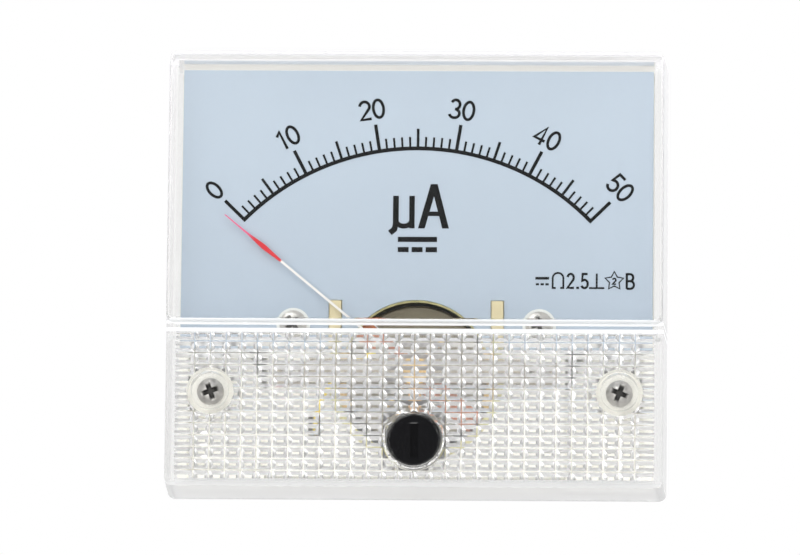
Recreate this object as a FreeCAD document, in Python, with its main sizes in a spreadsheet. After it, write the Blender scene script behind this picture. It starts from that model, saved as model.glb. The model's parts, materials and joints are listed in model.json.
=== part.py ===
import FreeCAD, Part
import Sketcher
import math
import os
from FreeCAD import Placement, Rotation, Vector

# Analog panel meter with a round barrel and a clear square-cornered cover.
# X runs to the right of the face, Y runs back into the panel, Z runs up.
# The origin is on the barrel's axis, in the plane of the panel that the flange rests on.

SIZES = {
    # Clear cover: outline, walls and the step below the window
    "face_width": 63.0,
    "face_height": 55.5,
    "edge_below_barrel": 0.7,
    "draft": 0.5,
    "face_corner": 1.0,
    "face_edge": 0.4,
    "cover_depth": 14.0,
    "panel_gap": 0.3,
    "cover_wall": 1.2,
    "window_wall": 1.5,
    "band_wall": 1.5,
    "band_step": 2.0,
    "ledge_height": 20.75,
    "ledge_web": 0.6,
    # Prism field moulded on the inside of the lower band
    "prism_depth": 0.7,
    "groove_depth": 0.6,
    "column_pitch": 2.0,
    "row_pitch": 1.5,
    "column_flat": 0.9,
    "row_flat": 0.3,
    "valley_flat": 0.15,
    "prism_top_gap": 0.7,
    # Long screws through the cover's lower corners
    "case_screw_inset": 5.5,
    "case_screw_height": 12.2,
    "case_shank_radius": 1.2,
    "case_head_radius": 1.7,
    "case_head_height": 1.4,
    "screw_recess_radius": 2.4,
    "screw_recess_depth": 2.8,
    "screw_boss_wall": 0.6,
    "boss_rise": 0.1,
    "stud_radius": 1.0,
    "stud_length": 12.0,
    "shank_clearance": 0.1,
    # Base with its round barrel
    "barrel_radius": 24.0,
    "barrel_length": 26.0,
    "collar_length": 6.5,
    "cup_radius": 21.2,
    "barrel_wall": 1.5,
    "barrel_floor": 2.0,
    "barrel_chamfer": 1.0,
    "flange_thickness": 3.0,
    "rim_wall": 1.2,
    # Dial plate
    "dial_depth": 7.5,
    "dial_thickness": 0.6,
    "dial_margin": 0.15,
    "dial_bottom_height": 18.1,
    "dial_corner": 0.8,
    "arch_radius": 9.5,
    "dial_screw_spacing": 31.4,
    "dial_screw_height": 21.2,
    "dial_shank_radius": 0.8,
    "dial_head_radius": 1.75,
    "dial_head_height": 0.9,
    "dial_washer_radius": 2.15,
    "dial_washer_thickness": 0.3,
    "screw_depth": 2.2,
    "thread_clearance": 0.05,
    # Movement frame and its lugs
    "lug_spacing": 20.7,
    "lug_width": 1.5,
    "lug_top_height": 24.35,
    "lug_proud": 0.3,
    "frame_width": 38.0,
    "frame_rise": 13.7,
    "frame_skirt": 13.2,
    "frame_lip": 0.3,
    "lip_width": 0.7,
    "ear_gap": 1.6,
    "ear_height": 4.4,
    "ear_thickness": 1.5,
    "frame_shank_radius": 0.7,
    "frame_head_radius": 1.5,
    "frame_head_height": 0.9,
    # Magnet, ring and moving coil
    "pivot_height": 15.0,
    "core_radius": 9.0,
    "core_length": 8.0,
    "core_set": 1.0,
    "core_chamfer": 0.25,
    "air_gap": 1.3,
    "yoke_wall": 1.7,
    "yoke_length": 8.6,
    "spacer_angle": 50.0,
    "spacer_end": 0.3,
    "fit_clearance": 0.03,
    "coil_clearance": 0.25,
    "former_wall": 0.2,
    "former_width": 3.2,
    "winding_depth": 0.55,
    "winding_width": 2.8,
    "rest_angle": 50.5,
    # Pivots, springs, pointer and balance weights
    "pivot_foot": 0.2,
    "pivot_foot_radius": 1.2,
    "collet_radius": 0.6,
    "pivot_radius": 0.3,
    "tip_depth": 0.35,
    "jewel_recess": 0.5,
    "jewel_radius": 1.0,
    "jewel_reach": 0.05,
    "jewel_proud": 0.1,
    "jewel_slot": 0.3,
    "lock_nut_radius": 1.9,
    "lock_nut_height": 0.5,
    "pointer_height": 0.7,
    "pointer_thickness": 0.15,
    "pointer_length": 31.9,
    "needle_length": 22.5,
    "needle_width": 0.3,
    "lance_width": 0.65,
    "tip_width": 0.12,
    "hub_radius": 1.2,
    "balance_reach": 5.8,
    "balance_width": 0.24,
    "weight_radius": 0.32,
    "weight_length": 1.4,
    "weight_inset": 0.1,
    "spring_gap": 0.15,
    "spring_width": 0.35,
    "spring_strip": 0.1,
    "spring_pitch": 0.7,
    "spring_play": 0.04,
    # Front bridge, zero lever and zero adjuster
    "lever_gap": 0.2,
    "lever_thickness": 0.3,
    "lever_width": 1.6,
    "lever_ring": 0.9,
    "lever_play": 0.1,
    "fork_wall": 0.6,
    "fork_play": 0.125,
    "post_radius": 0.25,
    "bridge_gap": 0.05,
    "bridge_thickness": 0.6,
    "bridge_width": 3.0,
    "bridge_leg_gap": 0.8,
    "bridge_foot": 4.8,
    "bridge_shank_radius": 0.7,
    "bridge_head_radius": 1.3,
    "bridge_head_height": 0.7,
    "tag_width": 1.6,
    "tag_reach": 3.1,
    "tag_offset": 4.2,
    "adjuster_height": 6.1,
    "adjuster_radius": 3.35,
    "adjuster_play": 0.1,
    "adjuster_recess": 1.7,
    "adjuster_boss_wall": 0.6,
    "adjuster_boss_length": 2.85,
    "adjuster_flange": 0.45,
    "adjuster_flange_thickness": 0.55,
    "adjuster_slot_width": 1.03,
    "adjuster_slot_length": 4.5,
    "adjuster_slot_depth": 0.7,
    "bevel": 0.5,
    "pin_throw": 1.5,
    "pin_radius": 0.5,
    "pin_reach": 0.3,
    # Rear bridge
    "rear_bridge_reach": 3.4,
    "rear_leg": 1.4,
    "rear_leg_inset": 0.2,
    "rear_bridge_width": 3.0,
    "rear_shank_radius": 0.45,
    "rear_head_radius": 0.85,
    "rear_head_height": 0.5,
    "rear_screw_depth": 3.0,
    "rear_jewel_tail": 1.4,
    # Terminals and lead wires
    "terminal_spacing": 22.0,
    "terminal_radius": 2.0,
    "terminal_length": 12.0,
    "terminal_head_radius": 3.4,
    "terminal_head_height": 1.8,
    "terminal_neck": 0.4,
    "terminal_shank_radius": 1.8,
    "terminal_washer_radius": 4.4,
    "terminal_washer_thickness": 0.8,
    "terminal_nut_radius": 4.04,
    "terminal_nut_height": 3.2,
    "lug_thickness": 0.5,
    "solder_lug_radius": 3.6,
    "solder_tab_width": 2.4,
    "solder_tab_reach": 7.5,
    "wire_radius": 0.3,
    "lead_pass_side": 12.9,
    "lead_pass_drop": 7.3,
    # Cross recesses of the screws
    "cross_width": 0.5,
    "cross_depth": 0.5,
    "cross_share": 0.7,
}


class Size:
    """A size that carries its number and the formula that ties it to the sheet."""

    def __init__(self, text, number):
        self.text = text
        self.number = float(number)

    def joined(self, sign, other, number):
        return Size(f"({self.text} {sign} {as_size(other).text})", number)

    def __add__(self, other):
        return self.joined("+", other, self.number + as_size(other).number)

    def __sub__(self, other):
        return self.joined("-", other, self.number - as_size(other).number)

    def __mul__(self, other):
        return self.joined("*", other, self.number * as_size(other).number)

    def __truediv__(self, other):
        return self.joined("/", other, self.number / as_size(other).number)

    def __radd__(self, other):
        return as_size(other) + self

    def __rsub__(self, other):
        return as_size(other) - self

    def __rmul__(self, other):
        return as_size(other) * self

    def __neg__(self):
        return 0 - self


def as_size(value):
    return value if isinstance(value, Size) else Size(repr(float(value)), value)


class Sheet:
    """Each driving dimension as an attribute, backed by a cell of the spreadsheet."""

    def __init__(self, cells):
        self.cells = cells

    def __getattr__(self, alias):
        return Size(f"dims.{alias}", self.cells.get(alias))


doc = FreeCAD.newDocument("panel_meter")
dims = doc.addObject("Spreadsheet::Sheet", "dims")
for row, (alias, number) in enumerate(SIZES.items(), start=1):
    dims.set(f"A{row}", alias)
    dims.set(f"B{row}", str(number))
    dims.setAlias(f"B{row}", alias)
doc.recompute()
s = Sheet(dims)

ALONG_Y = Rotation(Vector(1, 0, 0), -90)
HOLE_OVERRUN = 1.0


# Planes across Y, from the window back to the terminals

cover_front = -s.cover_depth
window_back = cover_front + s.window_wall
band_front = cover_front + s.band_step
band_back = band_front + s.band_wall
prism_back = band_back + s.prism_depth
cover_back = -s.panel_gap
flange_front = -s.flange_thickness
screw_seat = band_front + s.screw_recess_depth

dial_front = cover_front + s.dial_depth
dial_back = dial_front + s.dial_thickness
boss_front = dial_back - s.boss_rise
yoke_front = dial_back + s.frame_lip
yoke_back = yoke_front + s.yoke_length
core_front = yoke_front + s.core_set
core_back = core_front + s.core_length
former_front = core_front - s.coil_clearance - s.former_wall
former_back = core_back + s.coil_clearance + s.former_wall
winding_front = former_front - s.winding_depth
winding_back = former_back + s.winding_depth

pointer_back = dial_front - s.pointer_height
pointer_front = pointer_back - s.pointer_thickness
front_spring_back = pointer_front - s.spring_gap
front_spring_front = front_spring_back - s.spring_width
lever_back = front_spring_front - s.lever_gap
lever_front = lever_back - s.lever_thickness
bridge_back = lever_front - s.bridge_gap
bridge_front = bridge_back - s.bridge_thickness
lock_nut_front = bridge_front - s.lock_nut_height

rear_spring_front = winding_back + s.pivot_foot + s.spring_gap
rear_spring_back = rear_spring_front + s.spring_width
rear_arm_back = rear_spring_back + s.lever_gap + s.lever_thickness
rear_bridge_front = yoke_back + s.rear_bridge_reach
rear_bridge_back = rear_bridge_front + s.bridge_thickness

case_floor = s.barrel_length - s.barrel_floor
terminal_lug_front = case_floor - s.lug_thickness
terminal_nut_front = s.barrel_length + s.terminal_washer_thickness
terminal_nut_back = terminal_nut_front + s.terminal_nut_height

# Places across the face

lower_edge = -s.barrel_radius - s.edge_below_barrel
face_middle = lower_edge + s.face_height / 2
ledge_z = lower_edge + s.ledge_height
pivot_z = lower_edge + s.pivot_height
adjuster_z = lower_edge + s.adjuster_height
case_screw_x = s.face_width / 2 - s.case_screw_inset
case_screw_z = lower_edge + s.case_screw_height
screw_boss_radius = s.screw_recess_radius + s.screw_boss_wall
dial_screw_x = s.dial_screw_spacing / 2
dial_screw_z = lower_edge + s.dial_screw_height
dial_bottom_z = lower_edge + s.dial_bottom_height
lug_top_z = lower_edge + s.lug_top_height
base_half_width = s.face_width / 2 - s.cover_wall
base_half_height = s.face_height / 2 - s.cover_wall
yoke_bore = s.core_radius + s.air_gap
yoke_radius = yoke_bore + s.yoke_wall
former_reach = s.core_radius + s.coil_clearance
winding_reach = former_reach + s.former_wall
lever_arm = s.pivot_height - s.adjuster_height
bridge_leg_x = yoke_radius + s.bridge_leg_gap
bridge_screw_x = bridge_leg_x + s.bridge_thickness + s.bridge_foot / 2
barrel_inside = s.barrel_radius - s.barrel_wall
rim_inside = base_half_width - s.rim_wall
frame_top_z = pivot_z + s.frame_rise
frame_bottom_z = pivot_z - s.frame_skirt
ear_end = rim_inside - s.ear_gap
ear_x = (barrel_inside + ear_end) / 2
ear_z = frame_top_z - s.ear_height / 2
spring_inner = s.collet_radius + s.spring_play + s.spring_strip / 2
rear_leg_x = yoke_bore + s.rear_leg_inset
rear_screw_x = rear_leg_x + s.rear_leg / 2
terminal_x = s.terminal_spacing / 2
lead_pass_x = -s.lead_pass_side
lead_pass_z = pivot_z - s.lead_pass_drop
SPRING_HALF_TURNS = 7
spring_outer = spring_inner + s.spring_pitch / 2 * (SPRING_HALF_TURNS - 1)
post_reach = spring_outer + s.spring_strip / 2 + s.spring_play + s.post_radius


def bind(thing, name, size):
    thing.setExpression(name, as_size(size).text)


def move(thing, x=0, y=0, z=0):
    bind(thing, "Placement.Base.x", x)
    bind(thing, "Placement.Base.y", y)
    bind(thing, "Placement.Base.z", z)
    return thing


def box(name, x, y, z):
    """A block between pairs of limits along X, Y and Z."""
    thing = doc.addObject("Part::Box", name)
    for side, (low, high) in zip(("Length", "Width", "Height"), (x, y, z)):
        bind(thing, side, as_size(high) - low)
    return move(thing, x[0], y[0], z[0])


def rod(name, radius, y, x=0, z=0):
    """A cylinder along Y between a pair of limits."""
    thing = doc.addObject("Part::Cylinder", name)
    bind(thing, "Radius", radius)
    bind(thing, "Height", as_size(y[1]) - y[0])
    thing.Placement = Placement(Vector(), ALONG_Y)
    return move(thing, x, y[0], z)


def hexagon(name, radius, y, x=0, z=0):
    thing = doc.addObject("Part::Prism", name)
    thing.Polygon = 6
    bind(thing, "Circumradius", radius)
    bind(thing, "Height", as_size(y[1]) - y[0])
    thing.Placement = Placement(Vector(), ALONG_Y)
    return move(thing, x, y[0], z)


def fuse(name, *shapes):
    thing = doc.addObject("Part::MultiFuse", name)
    thing.Shapes = list(shapes)
    return thing


def cut(name, base, *tools):
    thing = doc.addObject("Part::Cut", name)
    thing.Base = base
    thing.Tool = tools[0] if len(tools) == 1 else fuse(name + "_tools", *tools)
    return thing


def mirrored(thing):
    twin = doc.addObject("Part::Mirroring", thing.Name + "_twin")
    twin.Source = thing
    twin.Normal = Vector(1, 0, 0)
    return twin


def both_sides(name, thing):
    pair = doc.addObject("Part::Compound", name)
    pair.Links = [thing, mirrored(thing)]
    return pair


def plane_of(body, role):
    return next(part for part in body.Origin.OriginFeatures if part.Role == role)


def new_sketch(body, role, offset=None):
    """An empty sketch on one of the body's own origin planes."""
    sketch = body.newObject("Sketcher::SketchObject", body.Name + "_sketch")
    sketch.AttachmentSupport = [(plane_of(body, role), "")]
    sketch.MapMode = "FlatFace"
    if offset is not None:
        bind(sketch, "AttachmentOffset.Base.z", offset)
    return sketch


def draw_polygon(sketch, points):
    """A closed outline whose corners are each tied to the sheet."""
    first = sketch.GeometryCount
    corners = [Vector(as_size(x).number, as_size(y).number, 0) for x, y in points]
    for start, end in zip(corners, corners[1:] + corners[:1]):
        sketch.addGeometry(Part.LineSegment(start, end), False)
    for number, (x, y) in enumerate(points):
        line = first + number
        following = first + (number + 1) % len(points)
        sketch.addConstraint(Sketcher.Constraint("Coincident", line, 2, following, 1))
        for kind, size in (("DistanceX", x), ("DistanceY", y)):
            size = as_size(size)
            constraint = sketch.addConstraint(Sketcher.Constraint(kind, line, 1, size.number))
            sketch.setExpression(f"Constraints[{constraint}]", size.text)


def padded(name, role, points, length, offset=None, centred=False):
    """A body padded from one closed outline."""
    body = doc.addObject("PartDesign::Body", name)
    sketch = new_sketch(body, role, offset)
    draw_polygon(sketch, points)
    pad = body.newObject("PartDesign::Pad", name + "_pad")
    pad.Profile = sketch
    pad.Midplane = centred
    bind(pad, "Length", length)
    return body


def turned(name, points, angle=360):
    """A body turned about Y from an outline of radius and Y."""
    body = doc.addObject("PartDesign::Body", name)
    sketch = new_sketch(body, "XY_Plane")
    draw_polygon(sketch, points)
    turn = body.newObject("PartDesign::Revolution", name + "_turn")
    turn.Profile = sketch
    turn.ReferenceAxis = (sketch, ["V_Axis"])
    turn.Midplane = True
    bind(turn, "Angle", angle)
    return body


def tube_section(inner, outer, y):
    return [(inner, y[0]), (outer, y[0]), (outer, y[1]), (inner, y[1])]


def cross_recess(name, head_radius, head_front, x, z):
    """Two crossed slots cut into a screw's head."""
    half = head_radius * s.cross_share
    thin = s.cross_width / 2
    depth = (head_front - HOLE_OVERRUN, head_front + s.cross_depth)
    flat = box(name + "_flat", (x - half, x + half), depth, (z - thin, z + thin))
    tall = box(name + "_tall", (x - thin, x + thin), depth, (z - half, z + half))
    return [flat, tall]


def screw(name, shank, head, head_front, seat, end, x, z):
    """A screw from its head's front, past its seat, to its end."""
    crown = head * 0.55
    outline = [
        (0, head_front),
        (crown, head_front),
        (head, head_front + (seat - head_front) * 0.6),
        (head, seat),
        (shank, seat),
        (shank, end),
        (0, end),
    ]
    blank = move(turned(name + "_blank", outline), x, 0, z)
    return cut(name + "_one", blank, *cross_recess(name, head, head_front, x, z))


def swung(thing, x=0, y=0, z=0):
    """Set a piece of the moving coil at the angle where the pointer rests."""
    move(thing, x, y, z)
    bind(thing, "Placement.Rotation.Angle", s.rest_angle)
    thing.setExpression("Placement.Rotation.Axis.x", "0")
    thing.setExpression("Placement.Rotation.Axis.y", "-1")
    thing.setExpression("Placement.Rotation.Axis.z", "0")
    return thing


# Cover

def half_across(face_size, y):
    """Half the cover's outer size at a distance behind its front, with the draft."""
    share = (as_size(y) - cover_front) / (cover_back - cover_front)
    return face_size / 2 + s.draft * share


def cover_block(name, y, inset):
    block = doc.addObject("Part::Wedge", name)
    for plane, edge in (("", y[0]), ("2", y[1])):
        half_x = half_across(s.face_width, edge) - inset
        half_z = half_across(s.face_height, edge) - inset
        bind(block, f"X{plane}min", -half_x)
        bind(block, f"X{plane}max", half_x)
        bind(block, f"Z{plane}min", face_middle - half_z)
        bind(block, f"Z{plane}max", face_middle + half_z)
    bind(block, "Ymin", y[0])
    bind(block, "Ymax", y[1])
    return block


def rounded_edges(name, base, choose):
    """Fillet the edges for which choose gives a radius."""
    doc.recompute()
    fillet = doc.addObject("Part::Fillet", name)
    fillet.Base = base
    radii = [(number, choose(edge)) for number, edge in enumerate(base.Shape.Edges, start=1)]
    fillet.Edges = [(number, radius, radius) for number, radius in radii if radius]
    return fillet


def cover_edge_radius(edge):
    """Corner edges run back from the face; face edges lie in its planes."""
    first, last = edge.Vertexes[0].Point, edge.Vertexes[-1].Point
    if abs(first.y - last.y) > 1 and abs(first.x - last.x) > 0.01:
        return s.face_corner.number
    in_front = max(first.y, last.y) < window_back.number
    if in_front and abs(first.y - last.y) < 0.01:
        return s.face_edge.number
    return 0


def prism_field():
    """Slab behind the lower band, cut by crossing grooves into small flat-topped pyramids."""
    half = half_across(s.face_width, band_back) - s.cover_wall * 0.9
    low = face_middle - half_across(s.face_height, band_back) + s.cover_wall * 0.9
    high = ledge_z - s.prism_top_gap
    outline = [(-half, low), (half, low), (half, high), (-half, high)]
    body = padded("prism_slab", "XZ_Plane", outline, s.prism_depth, offset=-prism_back)

    columns = int((2 * half.number) // s.column_pitch.number)
    rows = int((high.number - low.number) // s.row_pitch.number) + 1
    first_column = -s.column_pitch * ((columns - 2) // 2)
    first_row = high
    directions = (
        ("column", "XY_Plane", "H_Axis", columns - 1, first_column, s.column_pitch, s.column_flat),
        ("row", "YZ_Plane", "V_Axis", rows, first_row, s.row_pitch, s.row_flat),
    )
    for name, role, axis, count, place, pitch, flat in directions:
        half_groove = (pitch - flat) / 2
        half_floor = s.valley_flat / 2
        floor = prism_back - s.groove_depth
        corners = [
            (place - half_groove, prism_back),
            (place - half_floor, floor),
            (place + half_floor, floor),
            (place + half_groove, prism_back),
        ]
        if name == "row":
            corners = [(y, z) for z, y in corners]
        groove_sketch = new_sketch(body, role)
        draw_polygon(groove_sketch, corners)
        groove = body.newObject("PartDesign::Pocket", name + "_groove")
        groove.Profile = groove_sketch
        groove.Type = "ThroughAll"
        groove.Midplane = True
        pattern = body.newObject("PartDesign::LinearPattern", name + "_grooves")
        pattern.Originals = [groove]
        pattern.Direction = (groove_sketch, [axis])
        pattern.Reversed = name == "row"
        pattern.Occurrences = count
        bind(pattern, "Length", pitch * (count - 1))
        body.Tip = pattern
    return body


def front_cover():
    outer = cover_block("cover_outer", (cover_front, cover_back), 0)
    wide = s.face_width
    below = -s.face_height
    step = box("cover_step", (-wide, wide), (cover_front - HOLE_OVERRUN, band_front), (below, ledge_z))
    stepped = cut("cover_stepped", outer, step)
    rounded = rounded_edges("cover_rounded", stepped, cover_edge_radius)

    hollow = cover_block("cover_hollow", (window_back, as_size(HOLE_OVERRUN)), s.cover_wall)
    inner_ledge = ledge_z + s.ledge_web
    kept = box("cover_kept", (-wide, wide), (window_back - HOLE_OVERRUN, band_back), (below, inner_ledge))
    shell = cut("cover_shell", rounded, cut("cover_hollow_stepped", hollow, kept))

    cover_boss_y = (band_back, boss_front - s.fit_clearance)
    screw_boss = rod("cover_boss", screw_boss_radius, cover_boss_y, case_screw_x, case_screw_z)
    adjuster_boss_back = band_front + s.adjuster_boss_length
    ring_radius = s.adjuster_radius + s.adjuster_play + s.adjuster_boss_wall
    adjuster_boss = rod("adjuster_boss", ring_radius, (band_back, adjuster_boss_back), 0, adjuster_z)
    solid = fuse("cover_solid", shell, prism_field(), screw_boss, mirrored(screw_boss), adjuster_boss)

    recess = rod("screw_recess", s.screw_recess_radius, (cover_front, screw_seat),
                 case_screw_x, case_screw_z)
    hole_radius = s.case_shank_radius + s.shank_clearance
    hole = rod("screw_hole", hole_radius, (cover_front, as_size(0)), case_screw_x, case_screw_z)
    bore = s.adjuster_radius + s.adjuster_play
    mouth = [
        (0, band_front - s.bevel),
        (bore + s.bevel * 2, band_front - s.bevel),
        (bore, band_front + s.bevel),
        (bore, adjuster_boss_back + HOLE_OVERRUN),
        (0, adjuster_boss_back + HOLE_OVERRUN),
    ]
    adjuster_hole = move(turned("adjuster_hole", mouth), 0, 0, adjuster_z)
    holes = (recess, mirrored(recess), hole, mirrored(hole), adjuster_hole)
    return cut("front_cover", solid, *holes)


# Base and dial

def rear_case():
    half_x, half_z = base_half_width, base_half_height
    low, high = face_middle - half_z, face_middle + half_z
    plate = box("flange_plate", (-half_x, half_x), (dial_back, as_size(0)), (low, high))
    tray_z = (low + s.rim_wall, high - s.rim_wall)
    tray = box("flange_tray", (-rim_inside, rim_inside), (dial_back - HOLE_OVERRUN, flange_front), tray_z)
    notch_x = s.frame_width / 2 + s.shank_clearance * 2
    notch = box("rim_notch", (-notch_x, notch_x), (dial_back - HOLE_OVERRUN, flange_front),
                (low - HOLE_OVERRUN, tray_z[0] + HOLE_OVERRUN))

    outline = [
        (0, 0),
        (s.barrel_radius, 0),
        (s.barrel_radius, s.collar_length),
        (s.cup_radius, s.collar_length),
        (s.cup_radius, s.barrel_length - s.barrel_chamfer),
        (s.cup_radius - s.barrel_chamfer, s.barrel_length),
        (0, s.barrel_length),
    ]
    barrel = turned("barrel_blank", outline)
    dished = cut("flange_dished", plate, tray, notch)
    boss = rod("base_boss", screw_boss_radius, (boss_front, as_size(0)), case_screw_x, case_screw_z)
    solid = fuse("case_solid", dished, barrel, boss, mirrored(boss))

    hollow_end = s.collar_length - s.barrel_wall
    wide_hollow = rod("collar_hollow", barrel_inside, (flange_front - HOLE_OVERRUN, hollow_end))
    narrow_hollow = rod("cup_hollow", s.cup_radius - s.barrel_wall, (as_size(0), case_floor))
    hole_radius = s.case_shank_radius + s.shank_clearance
    screw_hole = rod("base_screw_hole", hole_radius, (boss_front - HOLE_OVERRUN, as_size(HOLE_OVERRUN)),
                     case_screw_x, case_screw_z)
    frame_hole = rod("base_frame_hole", s.frame_shank_radius + s.thread_clearance,
                     (flange_front - HOLE_OVERRUN, flange_front + s.screw_depth + s.thread_clearance),
                     ear_x, ear_z)
    terminal_hole = rod("terminal_hole", s.terminal_radius + s.shank_clearance,
                        (case_floor - HOLE_OVERRUN, s.barrel_length + HOLE_OVERRUN), terminal_x)
    holes = (screw_hole, frame_hole, terminal_hole)
    hollows = (wide_hollow, narrow_hollow)
    return cut("rear_case", solid, *hollows, *holes, *(mirrored(hole) for hole in holes))


def dial_plate():
    half = base_half_width - s.dial_margin
    top = face_middle + base_half_height - s.dial_margin
    corner = s.dial_corner
    outline = [
        (-half, dial_bottom_z),
        (half, dial_bottom_z),
        (half, top - corner),
        (half - corner, top),
        (-half + corner, top),
        (-half, top - corner),
    ]
    blank = padded("dial_blank", "XZ_Plane", outline, s.dial_thickness, offset=-dial_back)
    through = (dial_front - HOLE_OVERRUN, dial_back + HOLE_OVERRUN)
    arch = rod("dial_arch", s.arch_radius, through, 0, pivot_z)
    play = s.shank_clearance
    lug_x = s.lug_spacing / 2
    slot = box("dial_slot", (lug_x - s.lug_width / 2 - play, lug_x + s.lug_width / 2 + play), through,
               (dial_bottom_z - HOLE_OVERRUN, lug_top_z + play))
    hole = rod("dial_hole", s.dial_shank_radius + play, through, dial_screw_x, dial_screw_z)
    return cut("dial_plate", blank, arch, slot, mirrored(slot), hole, mirrored(hole))


def dial_fixings():
    washer_front = dial_front - s.dial_washer_thickness
    section = tube_section(s.dial_shank_radius + s.thread_clearance, s.dial_washer_radius,
                           (washer_front, dial_front))
    washer = move(turned("dial_washer_one", section), dial_screw_x, 0, dial_screw_z)
    fastener = screw("dial_screw", s.dial_shank_radius, s.dial_head_radius,
                     washer_front - s.dial_head_height, washer_front, dial_back + s.screw_depth,
                     dial_screw_x, dial_screw_z)
    return [both_sides("dial_washers", washer), both_sides("dial_screws", fastener)]


def case_screws():
    head, shank = s.case_head_radius, s.case_shank_radius
    head_front = screw_seat - s.case_head_height
    outline = [
        (0, head_front),
        (head * 0.55, head_front),
        (head, head_front + s.case_head_height * 0.6),
        (head, screw_seat),
        (shank, screw_seat),
        (shank, 0),
        (s.stud_radius, 0),
        (s.stud_radius, s.stud_length - s.bevel),
        (s.stud_radius - s.bevel, s.stud_length),
        (0, s.stud_length),
    ]
    blank = move(turned("case_screw_blank", outline), case_screw_x, 0, case_screw_z)
    recess = cross_recess("case_screw", head, head_front, case_screw_x, case_screw_z)
    return both_sides("case_screws", cut("case_screw_one", blank, *recess))


# Movement frame, magnet and bridges

def movement_frame():
    half = s.frame_width / 2
    body = box("frame_plate", (-half, half), (dial_back, flange_front), (frame_bottom_z, frame_top_z))
    ear_y = (flange_front - s.ear_thickness, flange_front)
    ears = box("frame_ears", (-ear_end, ear_end), ear_y, (frame_top_z - s.ear_height, frame_top_z))
    lug_x = s.lug_spacing / 2
    lug = box("frame_lug", (lug_x - s.lug_width / 2, lug_x + s.lug_width / 2),
              (dial_front - s.lug_proud, dial_back), (dial_bottom_z, lug_top_z))
    solid = fuse("frame_solid", body, ears, lug, mirrored(lug))

    seat = rod("yoke_seat", yoke_radius + s.fit_clearance, (yoke_front, as_size(0)), 0, pivot_z)
    lip = rod("yoke_lip", yoke_radius - s.lip_width, (dial_back - HOLE_OVERRUN, yoke_front + HOLE_OVERRUN),
              0, pivot_z)
    through = (dial_back - HOLE_OVERRUN, as_size(0))
    threads = (dial_back - HOLE_OVERRUN, dial_back + s.screw_depth + s.thread_clearance)
    dial_hole = rod("frame_dial_hole", s.dial_shank_radius + s.thread_clearance, threads,
                    dial_screw_x, dial_screw_z)
    bridge_hole = rod("frame_bridge_hole", s.bridge_shank_radius + s.thread_clearance, threads,
                      bridge_screw_x, pivot_z)
    ear_hole = rod("frame_ear_hole", s.frame_shank_radius + s.shank_clearance, through, ear_x, ear_z)
    wire_half = s.wire_radius + s.bevel
    wire_way = box("frame_wire_way", (lead_pass_x - wire_half, lead_pass_x + wire_half), through,
                   (lead_pass_z - wire_half, lead_pass_z + wire_half * 3))
    holes = (dial_hole, bridge_hole, ear_hole)
    return cut("movement_frame", solid, seat, lip, wire_way, *holes, *(mirrored(hole) for hole in holes))


def frame_screws():
    seat = flange_front - s.ear_thickness
    fastener = screw("frame_screw", s.frame_shank_radius, s.frame_head_radius,
                     seat - s.frame_head_height, seat, flange_front + s.screw_depth, ear_x, ear_z)
    return both_sides("frame_screws", fastener)


def magnet_system():
    ring_section = tube_section(yoke_bore, yoke_radius, (yoke_front, yoke_back))
    ring = move(turned("yoke_blank", ring_section), z=pivot_z)
    hole = rod("yoke_screw_hole", s.rear_shank_radius + s.thread_clearance,
               (yoke_back - s.rear_screw_depth - s.thread_clearance, yoke_back + HOLE_OVERRUN),
               rear_screw_x, pivot_z)
    yoke = cut("yoke_ring", ring, hole, mirrored(hole))

    chamfer = s.core_chamfer
    outline = [
        (0, core_front),
        (s.core_radius - chamfer, core_front),
        (s.core_radius, core_front + chamfer),
        (s.core_radius, core_back - chamfer),
        (s.core_radius - chamfer, core_back),
        (0, core_back),
    ]
    core = move(turned("core_magnet", outline), z=pivot_z)

    section = tube_section(s.core_radius + s.fit_clearance, yoke_bore - s.fit_clearance,
                           (core_front + s.spacer_end, yoke_back - s.spacer_end))
    sector = move(turned("core_spacer_one", section, s.spacer_angle), z=pivot_z)
    return [yoke, core, both_sides("core_spacers", sector)]


def hat_strip(name, y_top, y_foot, y_base, leg, foot_end, thickness, width):
    """A strip bent over the movement, with feet turned outward."""
    outline = [
        (-foot_end, y_base), (-leg, y_base), (-leg, y_top), (leg, y_top),
        (leg, y_base), (foot_end, y_base), (foot_end, y_foot), (leg + thickness, y_foot),
        (leg + thickness, y_top - thickness), (-leg - thickness, y_top - thickness),
        (-leg - thickness, y_foot), (-foot_end, y_foot),
    ]
    return move(padded(name, "XY_Plane", outline, width, centred=True), z=pivot_z)


def front_bridge():
    foot_end = bridge_leg_x + s.bridge_thickness + s.bridge_foot
    foot_front = dial_back - s.bridge_thickness
    strip = hat_strip("front_strip", bridge_back, foot_front, dial_back, bridge_leg_x, foot_end,
                      s.bridge_thickness, s.bridge_width)
    tag_x = (-s.tag_offset - s.tag_width / 2, -s.tag_offset + s.tag_width / 2)
    tag = box("solder_tag", tag_x, (bridge_front, bridge_back), (pivot_z, pivot_z + s.tag_reach))
    bore = rod("bridge_bore", s.jewel_radius + s.fit_clearance,
               (bridge_front - HOLE_OVERRUN, bridge_back + HOLE_OVERRUN), 0, pivot_z)
    hole = rod("bridge_hole", s.bridge_shank_radius + s.shank_clearance,
               (foot_front - HOLE_OVERRUN, dial_back + HOLE_OVERRUN), bridge_screw_x, pivot_z)
    return cut("front_bridge", fuse("front_bridge_solid", strip, tag), bore, hole, mirrored(hole))


def front_bridge_screws():
    seat = dial_back - s.bridge_thickness
    fastener = screw("front_bridge_screw", s.bridge_shank_radius, s.bridge_head_radius,
                     seat - s.bridge_head_height, seat, dial_back + s.screw_depth,
                     bridge_screw_x, pivot_z)
    return both_sides("front_bridge_screws", fastener)


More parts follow.
